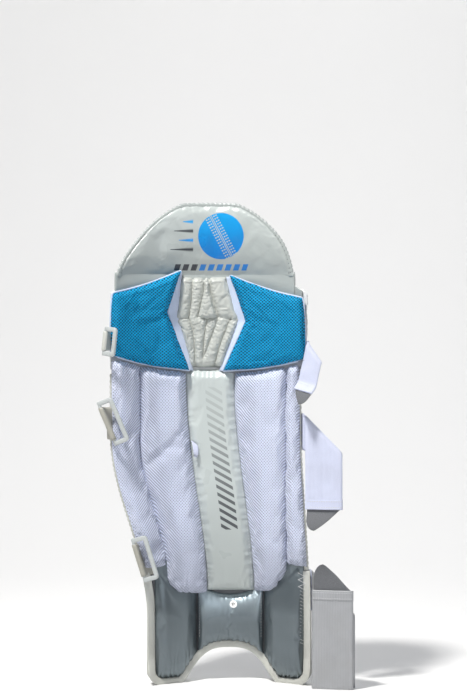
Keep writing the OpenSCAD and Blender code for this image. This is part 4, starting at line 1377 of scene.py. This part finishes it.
class LEGPAD_OT_edging(PadOperator):
    """Sews the edging round the feet and up both sides"""

    bl_idname = "legpad.edging"
    bl_label = "Edging"

    def sew(self, size):
        foot_ring = [
            [-5, -0.92], [-5.6, -0.98], [-4.8, -1.06], [-2, -1.1], [1.5, -1.06], [3.4, -0.98], [4, -0.8], [4, 0],
            [4, 0.8], [3.4, 0.98], [1.5, 1.08], [-2, 1.14], [-5.2, 1.1], [-6.4, 0.98], [-6.0, 0.9], [-5, 0.8]
        ]
        dense = resample(foot_ring + foot_ring[:1], 0.45)[:-1].tolist()
        bead = edge_bead(
            "foot_edging", foot_rim()[::-1], dense[::-1], "binding skin", lambda x, z: mix(5.5, 13, foot_depth(x, z)),
            lambda x, z: mix(5, 15, foot_depth(x, z) * (1 - 0.8 * smooth(66, 104, np.abs(x - mid_at(0))))), 0.03, 8
        )
        finish_piece(bead, "shin", ["foot_binding"])
        rim = foot_rim()
        ahead = np.gradient(rim, axis=0)
        inward = np.stack([-ahead[:, 1], ahead[:, 0]], -1) / np.linalg.norm(ahead, axis=1, keepdims=True)
        seam = stitch_line(rim + inward * 4.4, bead, pitch=3.6)
        finish_piece(stitches("foot_edging_stitching", [seam], look("dark thread"), 1.9, 0.3), "shin")
        # Whip stitches that hold the right ankle pad to its edging, longer and crossed at the top.
        runs = []
        for k, z in enumerate(np.arange(60, 163, 5.0)):
            x, top = right_edge(z) - 9.5, smooth(136, 142, z)
            reach, slope = mix(2.0, 4.6, top), mix(1.4, 2.4 * (-1) ** k, top)
            inner, normal_in, landed_in = land([[x - reach, z + slope]], PIECES["right_ankle_pad"])
            outer, normal_out, landed_out = land([[x + reach, z - slope]], bead)
            if landed_in[0] and landed_out[0]:
                normals = np.concatenate([normal_in, normal_out])
                path = np.concatenate([inner, outer]) + normals * 0.3
                path = resample(path, 1.6)
                runs.append((path, np.tile(normals.mean(0), (len(path), 1))))
        finish_piece(stitches("ankle_whip_stitching", runs, look("thread"), 2.0, 0.42), "shin")
        ring = [
            [0, -5], [2.6, -4.4], [3.8, -2.6], [4.1, -0.6], [3.4, 1.4], [1.6, 2.6], [-1.4, 3.0], [-4, 2.6],
            [-4.6, 1.2], [-4.6, -3.8], [-3.6, -4.8]
        ]
        for name, edge, sign in (("left_side_edging", left_edge, 1), ("right_side_edging", right_edge, -1)):
            z = np.linspace(SHIN_TOP - 3, 166.5, 160)
            line = np.stack([edge(z) + sign * 4, z], -1)
            line = line if sign > 0 else line[::-1]
            bead = edge_bead(name, line, ring, "binding skin", scallop=0.22, pitch=7.5)
            finish_piece(bead, "shin", ["left_side_binding" if sign > 0 else "right_side_binding"])


class LEGPAD_OT_knee(PadOperator):
    """Sews the knee rolls, the knee wings with their piping and welts, and the quilted knee cup"""

    bl_idname = "legpad.knee"
    bl_label = "Knee"

    def sew(self, size):
        self.rolls(size)
        self.wings(size)
        self.cup(size)

    def rolls(self, size):
        left, right, low, high = -141, 140, SHIN_TOP + 4, KNEE_TOP - 2
        pitch, height = (high - low) / 3, size.knee_roll_height / M
        drop = lambda u: -20 * np.abs(2 * u - 1) ** 6
        for k, name in enumerate(("knee_roll_lower", "knee_roll_middle", "knee_roll_upper")):
            z0, z1 = low + k * pitch, low + (k + 1) * pitch

            def place(u, v):
                return mix(left, right, u), mix(z0, z1 + (drop(u) if k == 2 else 0), v)

            def face(u, v, x, z):
                return -3.2 - height * crown(v, 2.5) * both_sides(u, 281, 26, 0.6)

            def detail(u, v, x, z):
                seam = np.exp(-(np.minimum(v, 1 - v) / 0.13) ** 2)
                tucks = wave(x / 12 + 0.5 * cloud(x / 30, v * 3, 50 + k)) * seam * 0.45
                side = np.minimum(u, 1 - u) * 281
                gathers = wave(z / 6.5 + 0.4 * cloud(x / 20, z / 9, 53 + k)) * np.exp(-side / 16) * ramp(side, 5) * 0.9
                return tucks + gathers + 0.5 * cloud(x / 34, z / 18, 56 + k)

            roll = panel(name, place, face, level(-2.0), (240, 40), look("cover skin"), FRONT, detail=detail)
            finish_piece(roll, "knee", [name, *(["knee_roll_foams"] if k == 0 else [])])
        place = lambda u, v: (mix(left + 5, right - 6, u), mix(low, high + 4 + drop(u), v))
        board = panel("knee_board", place, level(2.2), level(-1.8), (140, 60), look("plain lining"))
        finish_piece(board, "knee", ["knee_backing"])

    def wings(self, size):
        height, floor = size.wing_height / M, BASE + 3
        for side, label in ((-1, "left"), (1, "right")):
            place = wing_place(side)
            flip = (lambda u: 1 - u) if side < 0 else (lambda u: u)

            def on_wing(u, v):
                return place(flip(u), v)

            def rim_height(out):
                return 0.32 * mix(height, height - 6, out) * ramp((1 - out) * 100, 13, 0.6)

            def face(u, v, x, z):
                out = flip(u)
                from_edge = np.minimum(out * 95, np.minimum(v, 1 - v) * mix(135, 88, out))
                return floor + rim_height(out) * (1 + 2.1 * ramp(from_edge, 10, 0.7))

            def detail(u, v, x, z):
                out = flip(u)
                tall = mix(135, 88, out)
                edge = np.minimum(np.minimum(out * 95, (1 - out) * 100), np.minimum(v, 1 - v) * tall)
                ripple = wave((x + z) / 12 + 0.5 * cloud(x / 22, z / 22, 61)) * bell(edge - 6, 6) * 0.35
                return ripple + 0.8 * cloud(x / 34, z / 34, 62 + side)

            wing = panel(f"{label}_knee_wing", on_wing, face, level(floor - 1.0), (110, 120), look("wing net"),
                         cloth=dict(pressure=2.5, slack=0.01, cap=2.0), detail=detail)
            finish_piece(wing, "knee", [f"{label}_knee_wing", *(["wing_foams"] if side < 0 else [])])
            rim, share_out = wing_rim(side)
            path = softened(on_pad(rim[:, 0], rim[:, 1], floor + rim_height(share_out) + 0.3), 1.3, 4)
            piping = loop_tube(f"{label}_wing_piping", path, size.piping_radius / M, look("knit"))
            finish_piece(piping, "knee")
            inner = rim.mean(0) + (rim - rim.mean(0)) * 0.955
            run = stitch_line(inner, wing)
            finish_piece(stitches(f"{label}_wing_stitching", [run], look("wing net"), 2.4, 0.3), "knee")

            # The pale strip that slopes down from the notched edge to the knee cup.
            heights = [h for h, _ in WING[side]["inner"]]
            offsets = [o for _, o in WING[side]["inner"]]
            v = np.linspace(0.0, 0.985, 46)
            z = mix(heights[0], heights[2], v)
            x = np.interp(z, heights, offsets)
            steps = np.linspace(0, 1, 9)
            wide = np.interp(v, [0, 0.5, 0.62, 0.985], [5, 14, 15, 1.5 if side < 0 else 6])
            rows = [
                on_pad(
                    -1 + side * (x - mix(wide, -1.5, s)), z,
                    BASE + mix(4.0, 11.0, s**0.7) + 0.3 * cloud(z / 16, s * 2 + 0 * z, 65)
                )
                for s in steps
            ]
            grid = np.stack(rows if side > 0 else rows[::-1], 1)
            trim = ribbon(f"{label}_wing_trim", grid, 1.6, look("knit"))
            finish_piece(trim, "knee", [f"{label}_wing_trim"])

            # The grey welt that fills in below the wing.
            u = np.linspace(0.0, 1.0, 60)
            foot_x, foot_z = place(u, 0 * u)
            rows = []
            for s in np.linspace(0, 1, 9):
                bulge = math.sin(math.pi * min(1, s * 1.1)) * 2.0
                depth = mix(2.0, 9.0, s) + bulge
                rows.append(
                    on_pad(
                        foot_x, foot_z - mix(mix(4.0, 9.0, u), 0.0, s),
                        BASE + depth + 0.5 * cloud(foot_x / 14, s * 2, 66)
                    )
                )
            grid = np.stack(rows, 0)
            welt = ribbon(f"{label}_wing_welt", grid if side > 0 else grid[:, ::-1], 1.8, look("welt knit"))
            finish_piece(welt, "knee", [f"{label}_wing_welt"])

    def cup(self, size):
        height, low, high = size.cup_height / M, SHIN_TOP + 5, KNEE_TOP + 1
        outline = [(low, -27, 19), (481, -30, 24), (529, -48, 44), (545, -45, 37), (high, -40, 22)]
        heights = [o[0] for o in outline]

        def place(u, v):
            z = mix(low, high, v)
            return (
                mix(
                    np.interp(z, heights, [o[1] for o in outline]) - 2,
                    np.interp(z, heights, [o[2] for o in outline]) + 2, u
                ),
                z
            )

        left_foot, notch, right_foot, knot = (-17, 533.5), (-3.9, 530), (12.4, 533.2), (-9.5, 473)
        lines = [
            [(-8, high - 1), (-8.1, 573), (-12.3, 554.7), left_foot],
            [(-0.5, high - 1), (1.6, 570.5), (7, 551), right_foot],
            [left_foot, (-9.9, 531.4), notch, (4.6, 531.2), right_foot],
            [(-24.4, high - 1), (-26.2, 558.4), (-29.9, 532), (-23.8, 514.8), (-21.8, 494.3), (-20.8, low + 2)],
            [right_foot, (8.2, 519.7), (-1.5, 493), knot],
            [(29.4, 530), (22.7, 512.4), (14.3, 489.4), (7, low + 2)],
            [notch, (-5.7, 517.2), (-8.1, 500.3), knot],
        ]
        folds = [[(-50, 530.5), (-29.9, 532)], [(29.4, 530), (46, 527)], [right_foot, (29.4, 530)]]

        def face(u, v, x, z):
            width = np.interp(z, heights, [o[2] - o[1] + 4 for o in outline])
            return BASE + 1.6 + height * both_sides(u, width, 9, 0.6) * ramp((z - low), 9, 0.6) * ramp(high - z, 7, 0.6)

        def held(u, v, x, z):
            near = np.minimum.reduce([line_distance(x, z, line)[0] for line in lines])
            return (near < 2.2).astype(float)

        def detail(u, v, x, z):
            left_side = np.interp(z, [530, 554.7, 573], [-17, -12.3, -8.1])
            right_side = np.interp(z, [530, 551, 570.5], [12.4, 7, 1.6])
            inside = np.minimum(np.minimum(x - left_side, right_side - x), np.minimum(z - 530, 585 - z))
            raised = 3.2 * smooth(0, 5, inside)
            from_seam, along = line_distance(x, z, lines[6])
            hatch = 0.5 * np.sin(2 * np.pi * (z + 0.9 * x) / 2.9) * bell(from_seam, 3.2) * smooth(6, 20, along)
            wrinkles = 0.9 * np.sin(2 * np.pi * (z + 0.5 * x) / 7.5) * smooth(20, 31, x) * smooth(531, 520, z)
            creases = 1.0 * bell(np.abs(z - 515 - 2.5 * np.sin(x / 4)), 2.2) * smooth(-26, -32, x)
            soft = 0.7 * cloud(x / 24, z / 26, 71) + 0.25 * cloud(x / 9, z / 9, 74)
            tied = 1.6 * bell(np.hypot(x - knot[0], z - knot[1]), 2.2)
            return (
                raised + hatch + 0.5 * wrinkles + soft + tied - creases - sewn(x, z, lines, 4.4, 2.5, 0.3, 5.0, 73)
                - sewn(x, z, folds, 1.6, 2.2, 0.1, 5.0, 79)
            )

        cup = panel("knee_cup", place, face, level(BASE), (150, 190), look("cup skin"),
                    cloth=dict(pressure=4.0, slack=0.02, cap=1.5, held=held), detail=detail)
        finish_piece(cup, "knee", ["knee_cup", "knee_cup_foam"])
        runs = [stitch_line(line, cup, pitch=2.9) for line in lines]
        # The cup's stitches take the dark tab skin colour, painted shade along the sewn valleys.
        finish_piece(stitches("knee_cup_stitching", runs, look("tab skin"), 2.2, 0.26), "knee")


class LEGPAD_OT_flap(PadOperator):
    """Sews the top flap: its channelled front, its printed lining and its edging"""

    bl_idname = "legpad.flap"
    bl_label = "Top Flap"

    def sew(self, size):
        place = flap_place(4.5)

        def rise(u, v, x, z, height, edge):
            half = np.maximum(flap_half(z + 1) - 4.5, 4)
            side = half - np.abs(x - flap_mid(z))
            return (
                height * ramp(side, edge, 0.6) * ramp(z - KNEE_TOP - 2, edge, 0.6)
                * ramp(PAD_TOP - 4.5 - z, edge, 0.6)
            )

        def lining_face(u, v, x, z):
            low = smooth(KNEE_TOP, KNEE_TOP + 34, z)
            return 0.9 + rise(u, v, x, z, 1.5 + 4.5 * low, 20)

        def lining_detail(u, v, x, z):
            half = np.maximum(flap_half(z + 1) - 4.5, 4)
            side = np.maximum(half - np.abs(x - flap_mid(z)), 0)
            top = PAD_TOP - 4.5 - z
            edge = np.minimum(side, top)
            angle = np.arctan2(z - 590, x - flap_mid(z))
            gathers = (
                np.sin(angle * 34 + 2.5 * cloud(angle * 8, edge / 20, 81)) * np.exp(-edge / 13) * ramp(edge, 4)
                * smooth(0, 25, z - KNEE_TOP + 12)
            )
            folds = 0.9 * cloud(x / 42 + z / 60, z / 26, 82) * smooth(6, 26, edge)
            return 0.4 * gathers + folds

        lining = panel("flap_lining", place, lining_face, level(-0.4), (170, 96), look("flap lining"),
                       cloth=dict(pressure=1.5, slack=0.003, cap=0.9), detail=lining_detail)
        finish_piece(lining, "top_flap", ["top_flap_lining", "top_flap_foam"])

        channels = [-75, -45, -15, 15, 45, 75]

        def front_face(u, v, x, z):
            return -2.6 - rise(u, v, x, z, 12, 16)

        def front_detail(u, v, x, z):
            lines = [[(c - 2, KNEE_TOP + 4), (c * 0.8 - 2, PAD_TOP - 12)] for c in channels]
            inside = smooth(2, 12, flap_half(z) - 5 - np.abs(x - flap_mid(z)))
            return 0.8 * cloud(x / 22, z / 24, 84) - inside * sewn(x, z, lines, 5.0, 4.2, 0.4, 9, 85)

        front = panel(
            "flap_front", place, front_face, level(-0.6), (190, 90), look("cover skin"), FRONT, detail=front_detail
        )
        finish_piece(front, "top_flap", ["top_flap_front"])
        runs = [
            stitch_line(
                [
                    (c - 2, KNEE_TOP + 5),
                    (c * 0.8 - 2, min(PAD_TOP - 12, 583 + 110 * (1 - (abs(c) / 128) ** 2) ** 0.6))
                ],
                front, FRONT
            )
            for c in channels
        ]
        finish_piece(stitches("flap_front_stitching", runs, look("thread")), "top_flap")
        ring = [
            [-3.4, -3.2], [-1, -4.4], [1.6, -4.2], [3.4, -3.0], [4.2, -0.8], [3.9, 1.0], [2.8, 2.1], [0.8, 2.6],
            [-1.6, 2.5], [-3.2, 2.0], [-3.4, 0]
        ]
        bead = edge_bead("flap_edging", flap_rim(), ring, "plain lining", scallop=0.22, pitch=6.5)
        finish_piece(bead, "top_flap", ["top_flap_binding"])
        rim = resample(flap_rim(), 6.5)
        rim = rim[rim[:, 1] < 655]
        middle = np.stack([flap_mid(rim[:, 1]), 560 + 0 * rim[:, 0]], -1)
        inner = rim + (middle - rim) / np.linalg.norm(middle - rim, axis=1, keepdims=True) * 2.6
        runs = []
        for a, b in zip(rim, inner):
            points, normals, landed = land([a, (a + b) / 2, b], bead)
            if landed.all():
                runs.append((points[[0, 2]] + normals[[0, 2]] * 0.3, normals[[0, 2]]))
        finish_piece(stitches("flap_edge_stitching", runs, look("dark thread"), 2.2, 0.4), "top_flap")


STRAP_THICK, HEM_THICK, TAB_THICK, ROOT_THICK = 2.0, 3.4, 1.5, 1.6
# Straps: [middle height, width, crease angle, fold radius, length to the second bend, its radius, its turn,
# length to the hem, length of the hook tab, angle towards the leg at which it leaves the edge].
STRAPS = {
    "knee": [485, 30, 52, 4, 56, 14, 50, 74, 34, 30],
    "calf": [368, 54, 45, 4.5, 134, 24, 30, 140, 46, 10],
    "ankle": [138, 60, 45, 5, 165, 11, 180, 334, 40, 10],
}
# Buckles: [height of the bar's middle, distance outside the edge, lean, ring length, tab width, turn towards the leg].
BUCKLES = {"knee": [500, 4, -6, 42, 28, -42], "calf": [381, 1, 23, 68, 50, -14], "ankle": [183, -1, 17, 66, 48, -14]}


def strap_point(rule, s, c, wave=0.0):
    """Where the point s along and c across the flat strap lies once it is folded and hung."""
    middle, width, crease, fold, straight, bend, turn, _, _, leave = rule
    g = math.radians(crease)
    p = width / 2 / math.tan(g) - 7
    over = np.maximum(0, s - straight)
    flat_s = np.minimum(s, straight)
    q = (flat_s - p) * math.sin(g) + c * math.cos(g)
    along = (flat_s - p) * math.cos(g) - c * math.sin(g)
    angle = np.clip(q / fold, 0, math.pi)
    back = np.where(q <= 0, q, np.where(q < math.pi * fold, fold * np.sin(angle), math.pi * fold - q))
    out = p + along * math.cos(g) + back * math.sin(g)
    up = middle - along * math.sin(g) + back * math.cos(g)
    near = fold * (1 - np.cos(angle))
    full = math.radians(turn) * bend
    arc = np.minimum(over, full)
    a, rest = arc / bend, over - arc
    ahead = bend * np.sin(a) + rest * np.cos(a)
    rise = bend * (1 - np.cos(a)) + rest * np.sin(a)
    out = out + ahead * math.cos(2 * g)
    up = up - ahead * math.sin(2 * g)
    near = near + rise + wave
    hinge = np.array(JOINTS[rule_name(rule) + "_strap_swing"]["pos_m"]) / M
    h = math.radians(leave)
    return np.stack(
        [hinge[0] + out * math.cos(h) - near * math.sin(h), hinge[1] - out * math.sin(h) - near * math.cos(h), up], -1
    )


def rule_name(rule):
    return next(name for name, other in STRAPS.items() if other is rule)


class LEGPAD_OT_straps(PadOperator):
    """Cuts and folds the straps, with their hems, hook tabs and sewn roots"""

    bl_idname = "legpad.straps"
    bl_label = "Straps"

    def sew(self, size):
        for name, rule in STRAPS.items():
            middle, width, _, _, straight, _, _, hem, tab_length, _ = rule
            dish = 0.6 if name == "ankle" else 1
            body, parent = f"{name}_strap", "knee" if name == "knee" else "shin"

            def hang(s, c):
                return 1.2 * cloud(s / 45, c / 40 + 3, 90) - 1.6 * (c / width * 2) ** 2 * dish

            s = np.arange(0, hem + 0.1, 1.5)
            c = np.linspace(-0.5, 0.5, 19) * width
            cc, ss = np.meshgrid(c, s)
            sag = 1.2 * cloud(ss / 45, cc / 40 + 3, 90) * smooth(10, 40, ss)
            cup = 1.6 * (cc / width * 2) ** 2 * smooth(straight - 30, straight + 20, ss) * dish
            grid = strap_point(rule, ss, cc, sag - cup)
            strap = ribbon(f"{name}_strap", grid, STRAP_THICK, look("satin webbing" if name == "ankle" else "webbing"))
            finish_piece(strap, body, [f"{name}_strap"])

            # Folded hem at the end, and the hook tab sewn on its leg side.
            s = np.linspace(hem - 13, hem + 1.2, 12)
            cc, ss = np.meshgrid(np.linspace(-0.505, 0.505, 15) * width, s)
            grid = strap_point(rule, ss, cc, hang(ss, cc))
            hem_piece = ribbon(
                f"{name}_strap_hem", grid, HEM_THICK, look("satin webbing" if name == "ankle" else "hem")
            )
            finish_piece(hem_piece, body)
            runs = []
            for at in (hem - 10.5, hem - 2.2):
                cs = np.arange(-0.46 * width, 0.46 * width, 3.4)
                sags = hang(at + 0 * cs, cs)
                line = strap_point(rule, np.full(cs.shape, at), cs, sags)
                face = face_normals(
                    strap_point(rule, *np.meshgrid([at - 1, at, at + 1], cs, indexing="ij"), sags[None])
                )[1]
                for way in (1, -1):
                    runs.append((line + face * way * 1.75, face * way))
            finish_piece(stitches(f"{name}_strap_stitching", runs, look("thread"), 2.4, 0.36), body)

            # The tab leans to one side: its outline runs from a full hem to a round lobe near one edge.
            length, slant = tab_length * (0.95 if name == "ankle" else 0.72), width * 0.46
            share = np.linspace(0, 1, 40)
            s = np.concatenate([[-9, -5], share * length])
            lobe = np.sqrt(np.clip(1 - np.clip((share - 0.45) / 0.55, 0, 1) ** 2, 0.004, 1))
            near_side = np.concatenate([[-slant, -slant], -slant + 0.22 * width * (1 - lobe)])
            far_side = np.concatenate(
                [
                    [slant, slant],
                    mix(slant, -0.12 * width, share**0.9) * (0.35 + 0.65 * lobe) + (1 - lobe) * -0.2 * width
                ]
            )
            f = np.linspace(0, 1, 17)
            cc = mix(near_side[:, None], np.maximum(far_side, near_side + 1)[:, None], f[None])
            if name != "knee":
                cc = -cc[:, ::-1]
            ss = np.repeat(s[:, None], 17, 1) + hem
            grid = strap_point(rule, ss, cc, hang(ss, cc))
            way = 1 if name == "ankle" else -1
            grid = grid + face_normals(grid) * 2.5 * way
            tab = ribbon(f"{name}_hook_tab", grid, TAB_THICK, look("hook tape"))
            tab.data.materials.append(look("tab back"))
            faces = len(grid_faces(*grid.shape[1::-1]))
            for polygon in tab.data.polygons:
                if (polygon.index >= faces) == (name != "ankle"):
                    polygon.material_index = 1
            finish_piece(tab, body, [f"{name}_strap_tab"])
            # Root: from the sewn patch on the front, round the edge and over the hinge.
            edge = right_edge if name != "knee" else (lambda z: 140.0)
            z = middle - np.linspace(-0.5, 0.5, 17) * width * 0.98
            e = edge(z)
            rows = [
                on_pad(e - 24, z, -6.4), on_pad(e - 16, z, -7.2), on_pad(e - 8, z, -7.6), on_pad(e - 1.5, z, -7.0),
                on_pad(e + 2.5, z, -4.6)
            ]
            for at in (-1.5, 2.0, 6.0, 10.0):
                rows.append(
                    strap_point(rule, np.full(z.shape, at), z - middle, 0)
                    + np.array([0, 1.1, 0]) * (1 if at > 0 else 0.4)
                )
            path = np.stack(rows, 0)
            at, to = np.linspace(0, 1, len(path)), np.linspace(0, 1, 30)
            fine = np.stack(
                [np.stack([np.interp(to, at, path[:, i, k]) for k in range(3)], -1) for i in range(path.shape[1])], 1
            )
            root = ribbon(f"{name}_strap_root", fine, ROOT_THICK, look("hem"))
            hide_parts(f"{name}_strap_anchor")
            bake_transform(root)


def buckle_frame(name):
    """Middle of a buckle's bar, the direction along the bar, the way the ring points, and its thickness direction."""
    joint = JOINTS[f"{name}_buckle_pivot"]
    middle = np.array(joint["pos_m"]) / M
    bar = np.array(joint["axis"])
    lean, turn = math.radians(BUCKLES[name][2]), math.radians(BUCKLES[name][5])
    turned = Matrix.Rotation(-lean, 3, "Y") @ Matrix.Rotation(turn, 3, "Z")
    return middle, bar, np.array(turned @ Vector((1, 0, 0))), np.array(turned @ Vector((0, 1, 0)))


class LEGPAD_OT_buckles(PadOperator):
    """Moulds the buckles and folds the tabs that hold them"""

    bl_idname = "legpad.buckles"
    bl_label = "Buckles"

    def sew(self, size):
        for name, rule in BUCKLES.items():
            middle, bar, reach, thick = buckle_frame(name)
            length, tab = rule[3:5]
            half, bar_width, depth, wide = length / 2, 6.6, 5.0, 22.0
            points, path, corner = [], [], 5.5
            for cx, cz, a0 in ((wide - corner, half - corner, 90), (wide - corner, -half + corner, 0)):
                path += [
                    (
                        cx + (corner - bar_width / 2) * math.cos(math.radians(a)),
                        cz + (corner - bar_width / 2) * math.sin(math.radians(a))
                    )
                    for a in np.linspace(a0, a0 - 90, 9)
                ]
            path = [(0.0, half - bar_width / 2), *path, (0.0, -half + bar_width / 2)]
            path = resample(path, 1.2)
            ahead = np.gradient(path, axis=0)
            ahead /= np.linalg.norm(ahead, axis=1, keepdims=True)
            side = np.stack([ahead[:, 1], -ahead[:, 0]], -1)
            ring = [
                (
                    bar_width / 2 * np.sign(math.cos(a)) * abs(math.cos(a)) ** 0.55,
                    depth / 2 * np.sign(math.sin(a)) * abs(math.sin(a)) ** 0.55
                )
                for a in np.linspace(0, 2 * np.pi, 18, endpoint=False)
            ]
            for k in range(len(path)):
                for o, t in ring:
                    px, pz = path[k] + side[k] * o
                    points.append(middle + reach * px + bar * pz + thick * t)
            faces = grid_faces(len(ring), len(path), wrap=True).tolist()
            faces += end_caps(len(ring), len(path))
            start, sides = len(points), 18
            rows = [
                (-half, 1.4), (-half + 0.8, 2.3), (-half + 1.5, 2.4), (half - 1.5, 2.4), (half - 0.8, 2.3),
                (half, 1.4)
            ]
            for z, r in rows:
                points += [
                    middle + bar * z + (reach * math.cos(a) + thick * math.sin(a)) * r
                    for a in np.linspace(0, 2 * np.pi, sides, endpoint=False)
                ]
            faces += grid_faces(sides, len(rows), start, wrap=True).tolist()
            faces += end_caps(sides, len(rows), start)
            buckle = new_piece(f"{name}_buckle_ring", points, faces, look("buckle plastic"))
            finish_piece(buckle, f"{name}_buckle", [f"{name}_buckle"])

            # The tab starts under the padding, goes round the bar and back over the front edge.
            edge_x = lambda z: -143.0 if name == "knee" else left_edge(z)
            columns = []
            for f in np.linspace(-0.5, 0.5, 15):
                m = middle + bar * tab * f
                e, z = edge_x(m[2]), m[2]
                loop = [
                    m + (reach * math.cos(a) + thick * math.sin(a)) * 3.3
                    for a in np.radians(np.linspace(60, -190, 14))
                ]
                inside = [on_pad(e + 12, z, BASE + 2), on_pad(e + 4, z, BASE + 2.5)]
                outside_leg = [
                    m + np.array([-2.6, 5.5, 0]), on_pad(e - 3.2, z, 1), on_pad(e - 2.2, z, -5.8),
                    on_pad(e + 3, z, -7.6), on_pad(e + 9, z, -7.4), on_pad(e + 17, z, -6.8)
                ]
                columns.append(resample(rounded_line([*inside, *loop, *outside_leg], 3, 1.2), 1.2))
            count = min(len(c) for c in columns)
            columns = [
                np.stack(
                    [np.interp(np.linspace(0, 1, count), np.linspace(0, 1, len(c)), c[:, k]) for k in range(3)], -1
                )
                for c in columns
            ]
            grid = np.stack(columns, 1)
            tab_piece = ribbon(f"{name}_buckle_tab", grid, 1.3, look("tab skin" if name != "knee" else "binding skin"))
            finish_piece(tab_piece, "knee" if name == "knee" else "shin", [f"{name}_buckle_tab"])


class LEGPAD_OT_gussets(PadOperator):
    """Sews the soft gussets that close the seams at which the pad bends"""

    bl_idname = "legpad.gussets"
    bl_label = "Gussets"

    def sew(self, size):
        for name, lower, upper, level, reach, half in (
            ("knee_gusset", "shin", "knee", SHIN_TOP + 0.5, 7.5, 134),
            ("flap_gusset", "knee", "top_flap", KNEE_TOP, 9.0, 129.5)
        ):
            u, v = np.meshgrid(np.linspace(-1, 1, 150), np.linspace(-1, 1, 13))
            drop = 0 if name == "knee_gusset" else -24 * np.abs(u) ** 3.5 * (1 - v) / 2
            x, z = (-1 if name == "knee_gusset" else -6) + u * half, level + v * reach + drop
            soft = 0.5 * cloud(x / 12, z / 8, 95)
            face = on_pad(
                x, z,
                2.6 - 2.0 * v**2 + soft if name == "knee_gusset" else 3.3 - 2.4 * smooth(-0.3, 1, v) + 0.3 * soft
            )
            back = on_pad(x, z, -4.2 + 2.4 * v**2 + soft)
            points, faces = closed_sheet(face, back)
            flat = np.stack([x, z], -1).reshape(-1, 2)
            gusset = new_piece(
                name, points, faces, look("cover skin" if name == "knee_gusset" else "plain lining"),
                np.concatenate([flat, flat])
            )
            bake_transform(gusset)


class LEGPAD_OT_stage(PadOperator):
    """Sets the floor, the lights and the camera"""

    bl_idname = "legpad.stage"
    bl_label = "Studio"

    def sew(self, size):
        # A floor that curves up into a backdrop behind the pad.
        profile = (
            [(-2.6, 0.0), (1.2, 0.0)]
            + [(1.2 + 1.2 * math.sin(a), 1.2 - 1.2 * math.cos(a)) for a in np.linspace(0.1, math.pi / 2, 14)]
            + [(2.4, 4.5)]
        )
        points = [(x / M, y / M, z / M) for y, z in profile for x in np.linspace(-4, 4, 9)]
        floor = new_piece("studio_floor", points, grid_faces(9, len(profile)), look("floor"))
        aim = Vector((0, 0, 0.36))
        for name, place, power, wide, tint in (
            ("key", (-0.75, -0.95, 2.6), 80, 0.3, (1.0, 0.98, 0.95)),
            ("fill", (1.4, -2.6, 1.5), 13, 1.8, (0.93, 0.96, 1.0)),
            ("back", (0.6, 1.6, 2.4), 18, 1.4, (1.0, 1.0, 1.0)),
        ):
            data = bpy.data.lights.new(name, "AREA")
            data.energy, data.size, data.color, data.shape = power, wide, tint, "DISK"
            lamp = bpy.data.objects.new(name, data)
            lamp.location = place
            lamp.rotation_euler = (aim - Vector(place)).to_track_quat("-Z", "Y").to_euler()
            bpy.context.scene.collection.objects.link(lamp)
        world = bpy.data.worlds.new("studio")
        world.use_nodes = True
        world.node_tree.nodes["Background"].inputs[0].default_value = (0.92, 0.95, 1.0, 1)
        world.node_tree.nodes["Background"].inputs[1].default_value = 0.25
        bpy.context.scene.world = world
        bpy.context.scene.view_settings.view_transform = "Standard"
        lens = bpy.data.cameras.new("camera")
        camera = bpy.data.objects.new("camera", lens)
        distance, rise, view_height = 3.5, math.radians(2), 1.0158
        target = Vector((0.0063, 0.0, 0.4858))
        camera.location = target + Vector((0, -distance * math.cos(rise), distance * math.sin(rise)))
        camera.rotation_euler = (target - camera.location).to_track_quat("-Z", "Y").to_euler()
        lens.sensor_fit, lens.sensor_height, lens.lens = "VERTICAL", 36, 36 * distance / view_height
        bpy.context.scene.collection.objects.link(camera)
        bpy.context.scene.camera = camera


class LEGPAD_PT_panel(bpy.types.Panel):
    """Lists the sewing steps and the pad's sizes and colours"""

    bl_idname = "LEGPAD_PT_panel"
    bl_label = "Leg Pad"
    bl_space_type = "VIEW_3D"
    bl_region_type = "UI"
    bl_category = "Leg Pad"

    def draw(self, context):
        for step in STEPS:
            self.layout.operator(step.bl_idname)
        for settings in (context.scene.leg_pad_sizes, context.scene.leg_pad_colours):
            box = self.layout.box()
            for name in settings.__annotations__:
                box.prop(settings, name)


STEPS = (
    LEGPAD_OT_materials, LEGPAD_OT_stage, LEGPAD_OT_front, LEGPAD_OT_bolsters, LEGPAD_OT_strip, LEGPAD_OT_ankle,
    LEGPAD_OT_edging, LEGPAD_OT_knee, LEGPAD_OT_flap, LEGPAD_OT_straps, LEGPAD_OT_buckles, LEGPAD_OT_gussets
)
CLASSES = (LegPadSizes, LegPadColours, *STEPS, LEGPAD_PT_panel)


def register():
    for cls in CLASSES:
        bpy.utils.register_class(cls)
    bpy.types.Scene.leg_pad_sizes = PointerProperty(type=LegPadSizes)
    bpy.types.Scene.leg_pad_colours = PointerProperty(type=LegPadColours)


def unregister():
    del bpy.types.Scene.leg_pad_sizes
    del bpy.types.Scene.leg_pad_colours
    for cls in reversed(CLASSES):
        bpy.utils.unregister_class(cls)


def main():
    register()
    for step in STEPS:
        group, name = step.bl_idname.split(".")
        getattr(getattr(bpy.ops, group), name)()


if __name__ == "__main__":
    main()
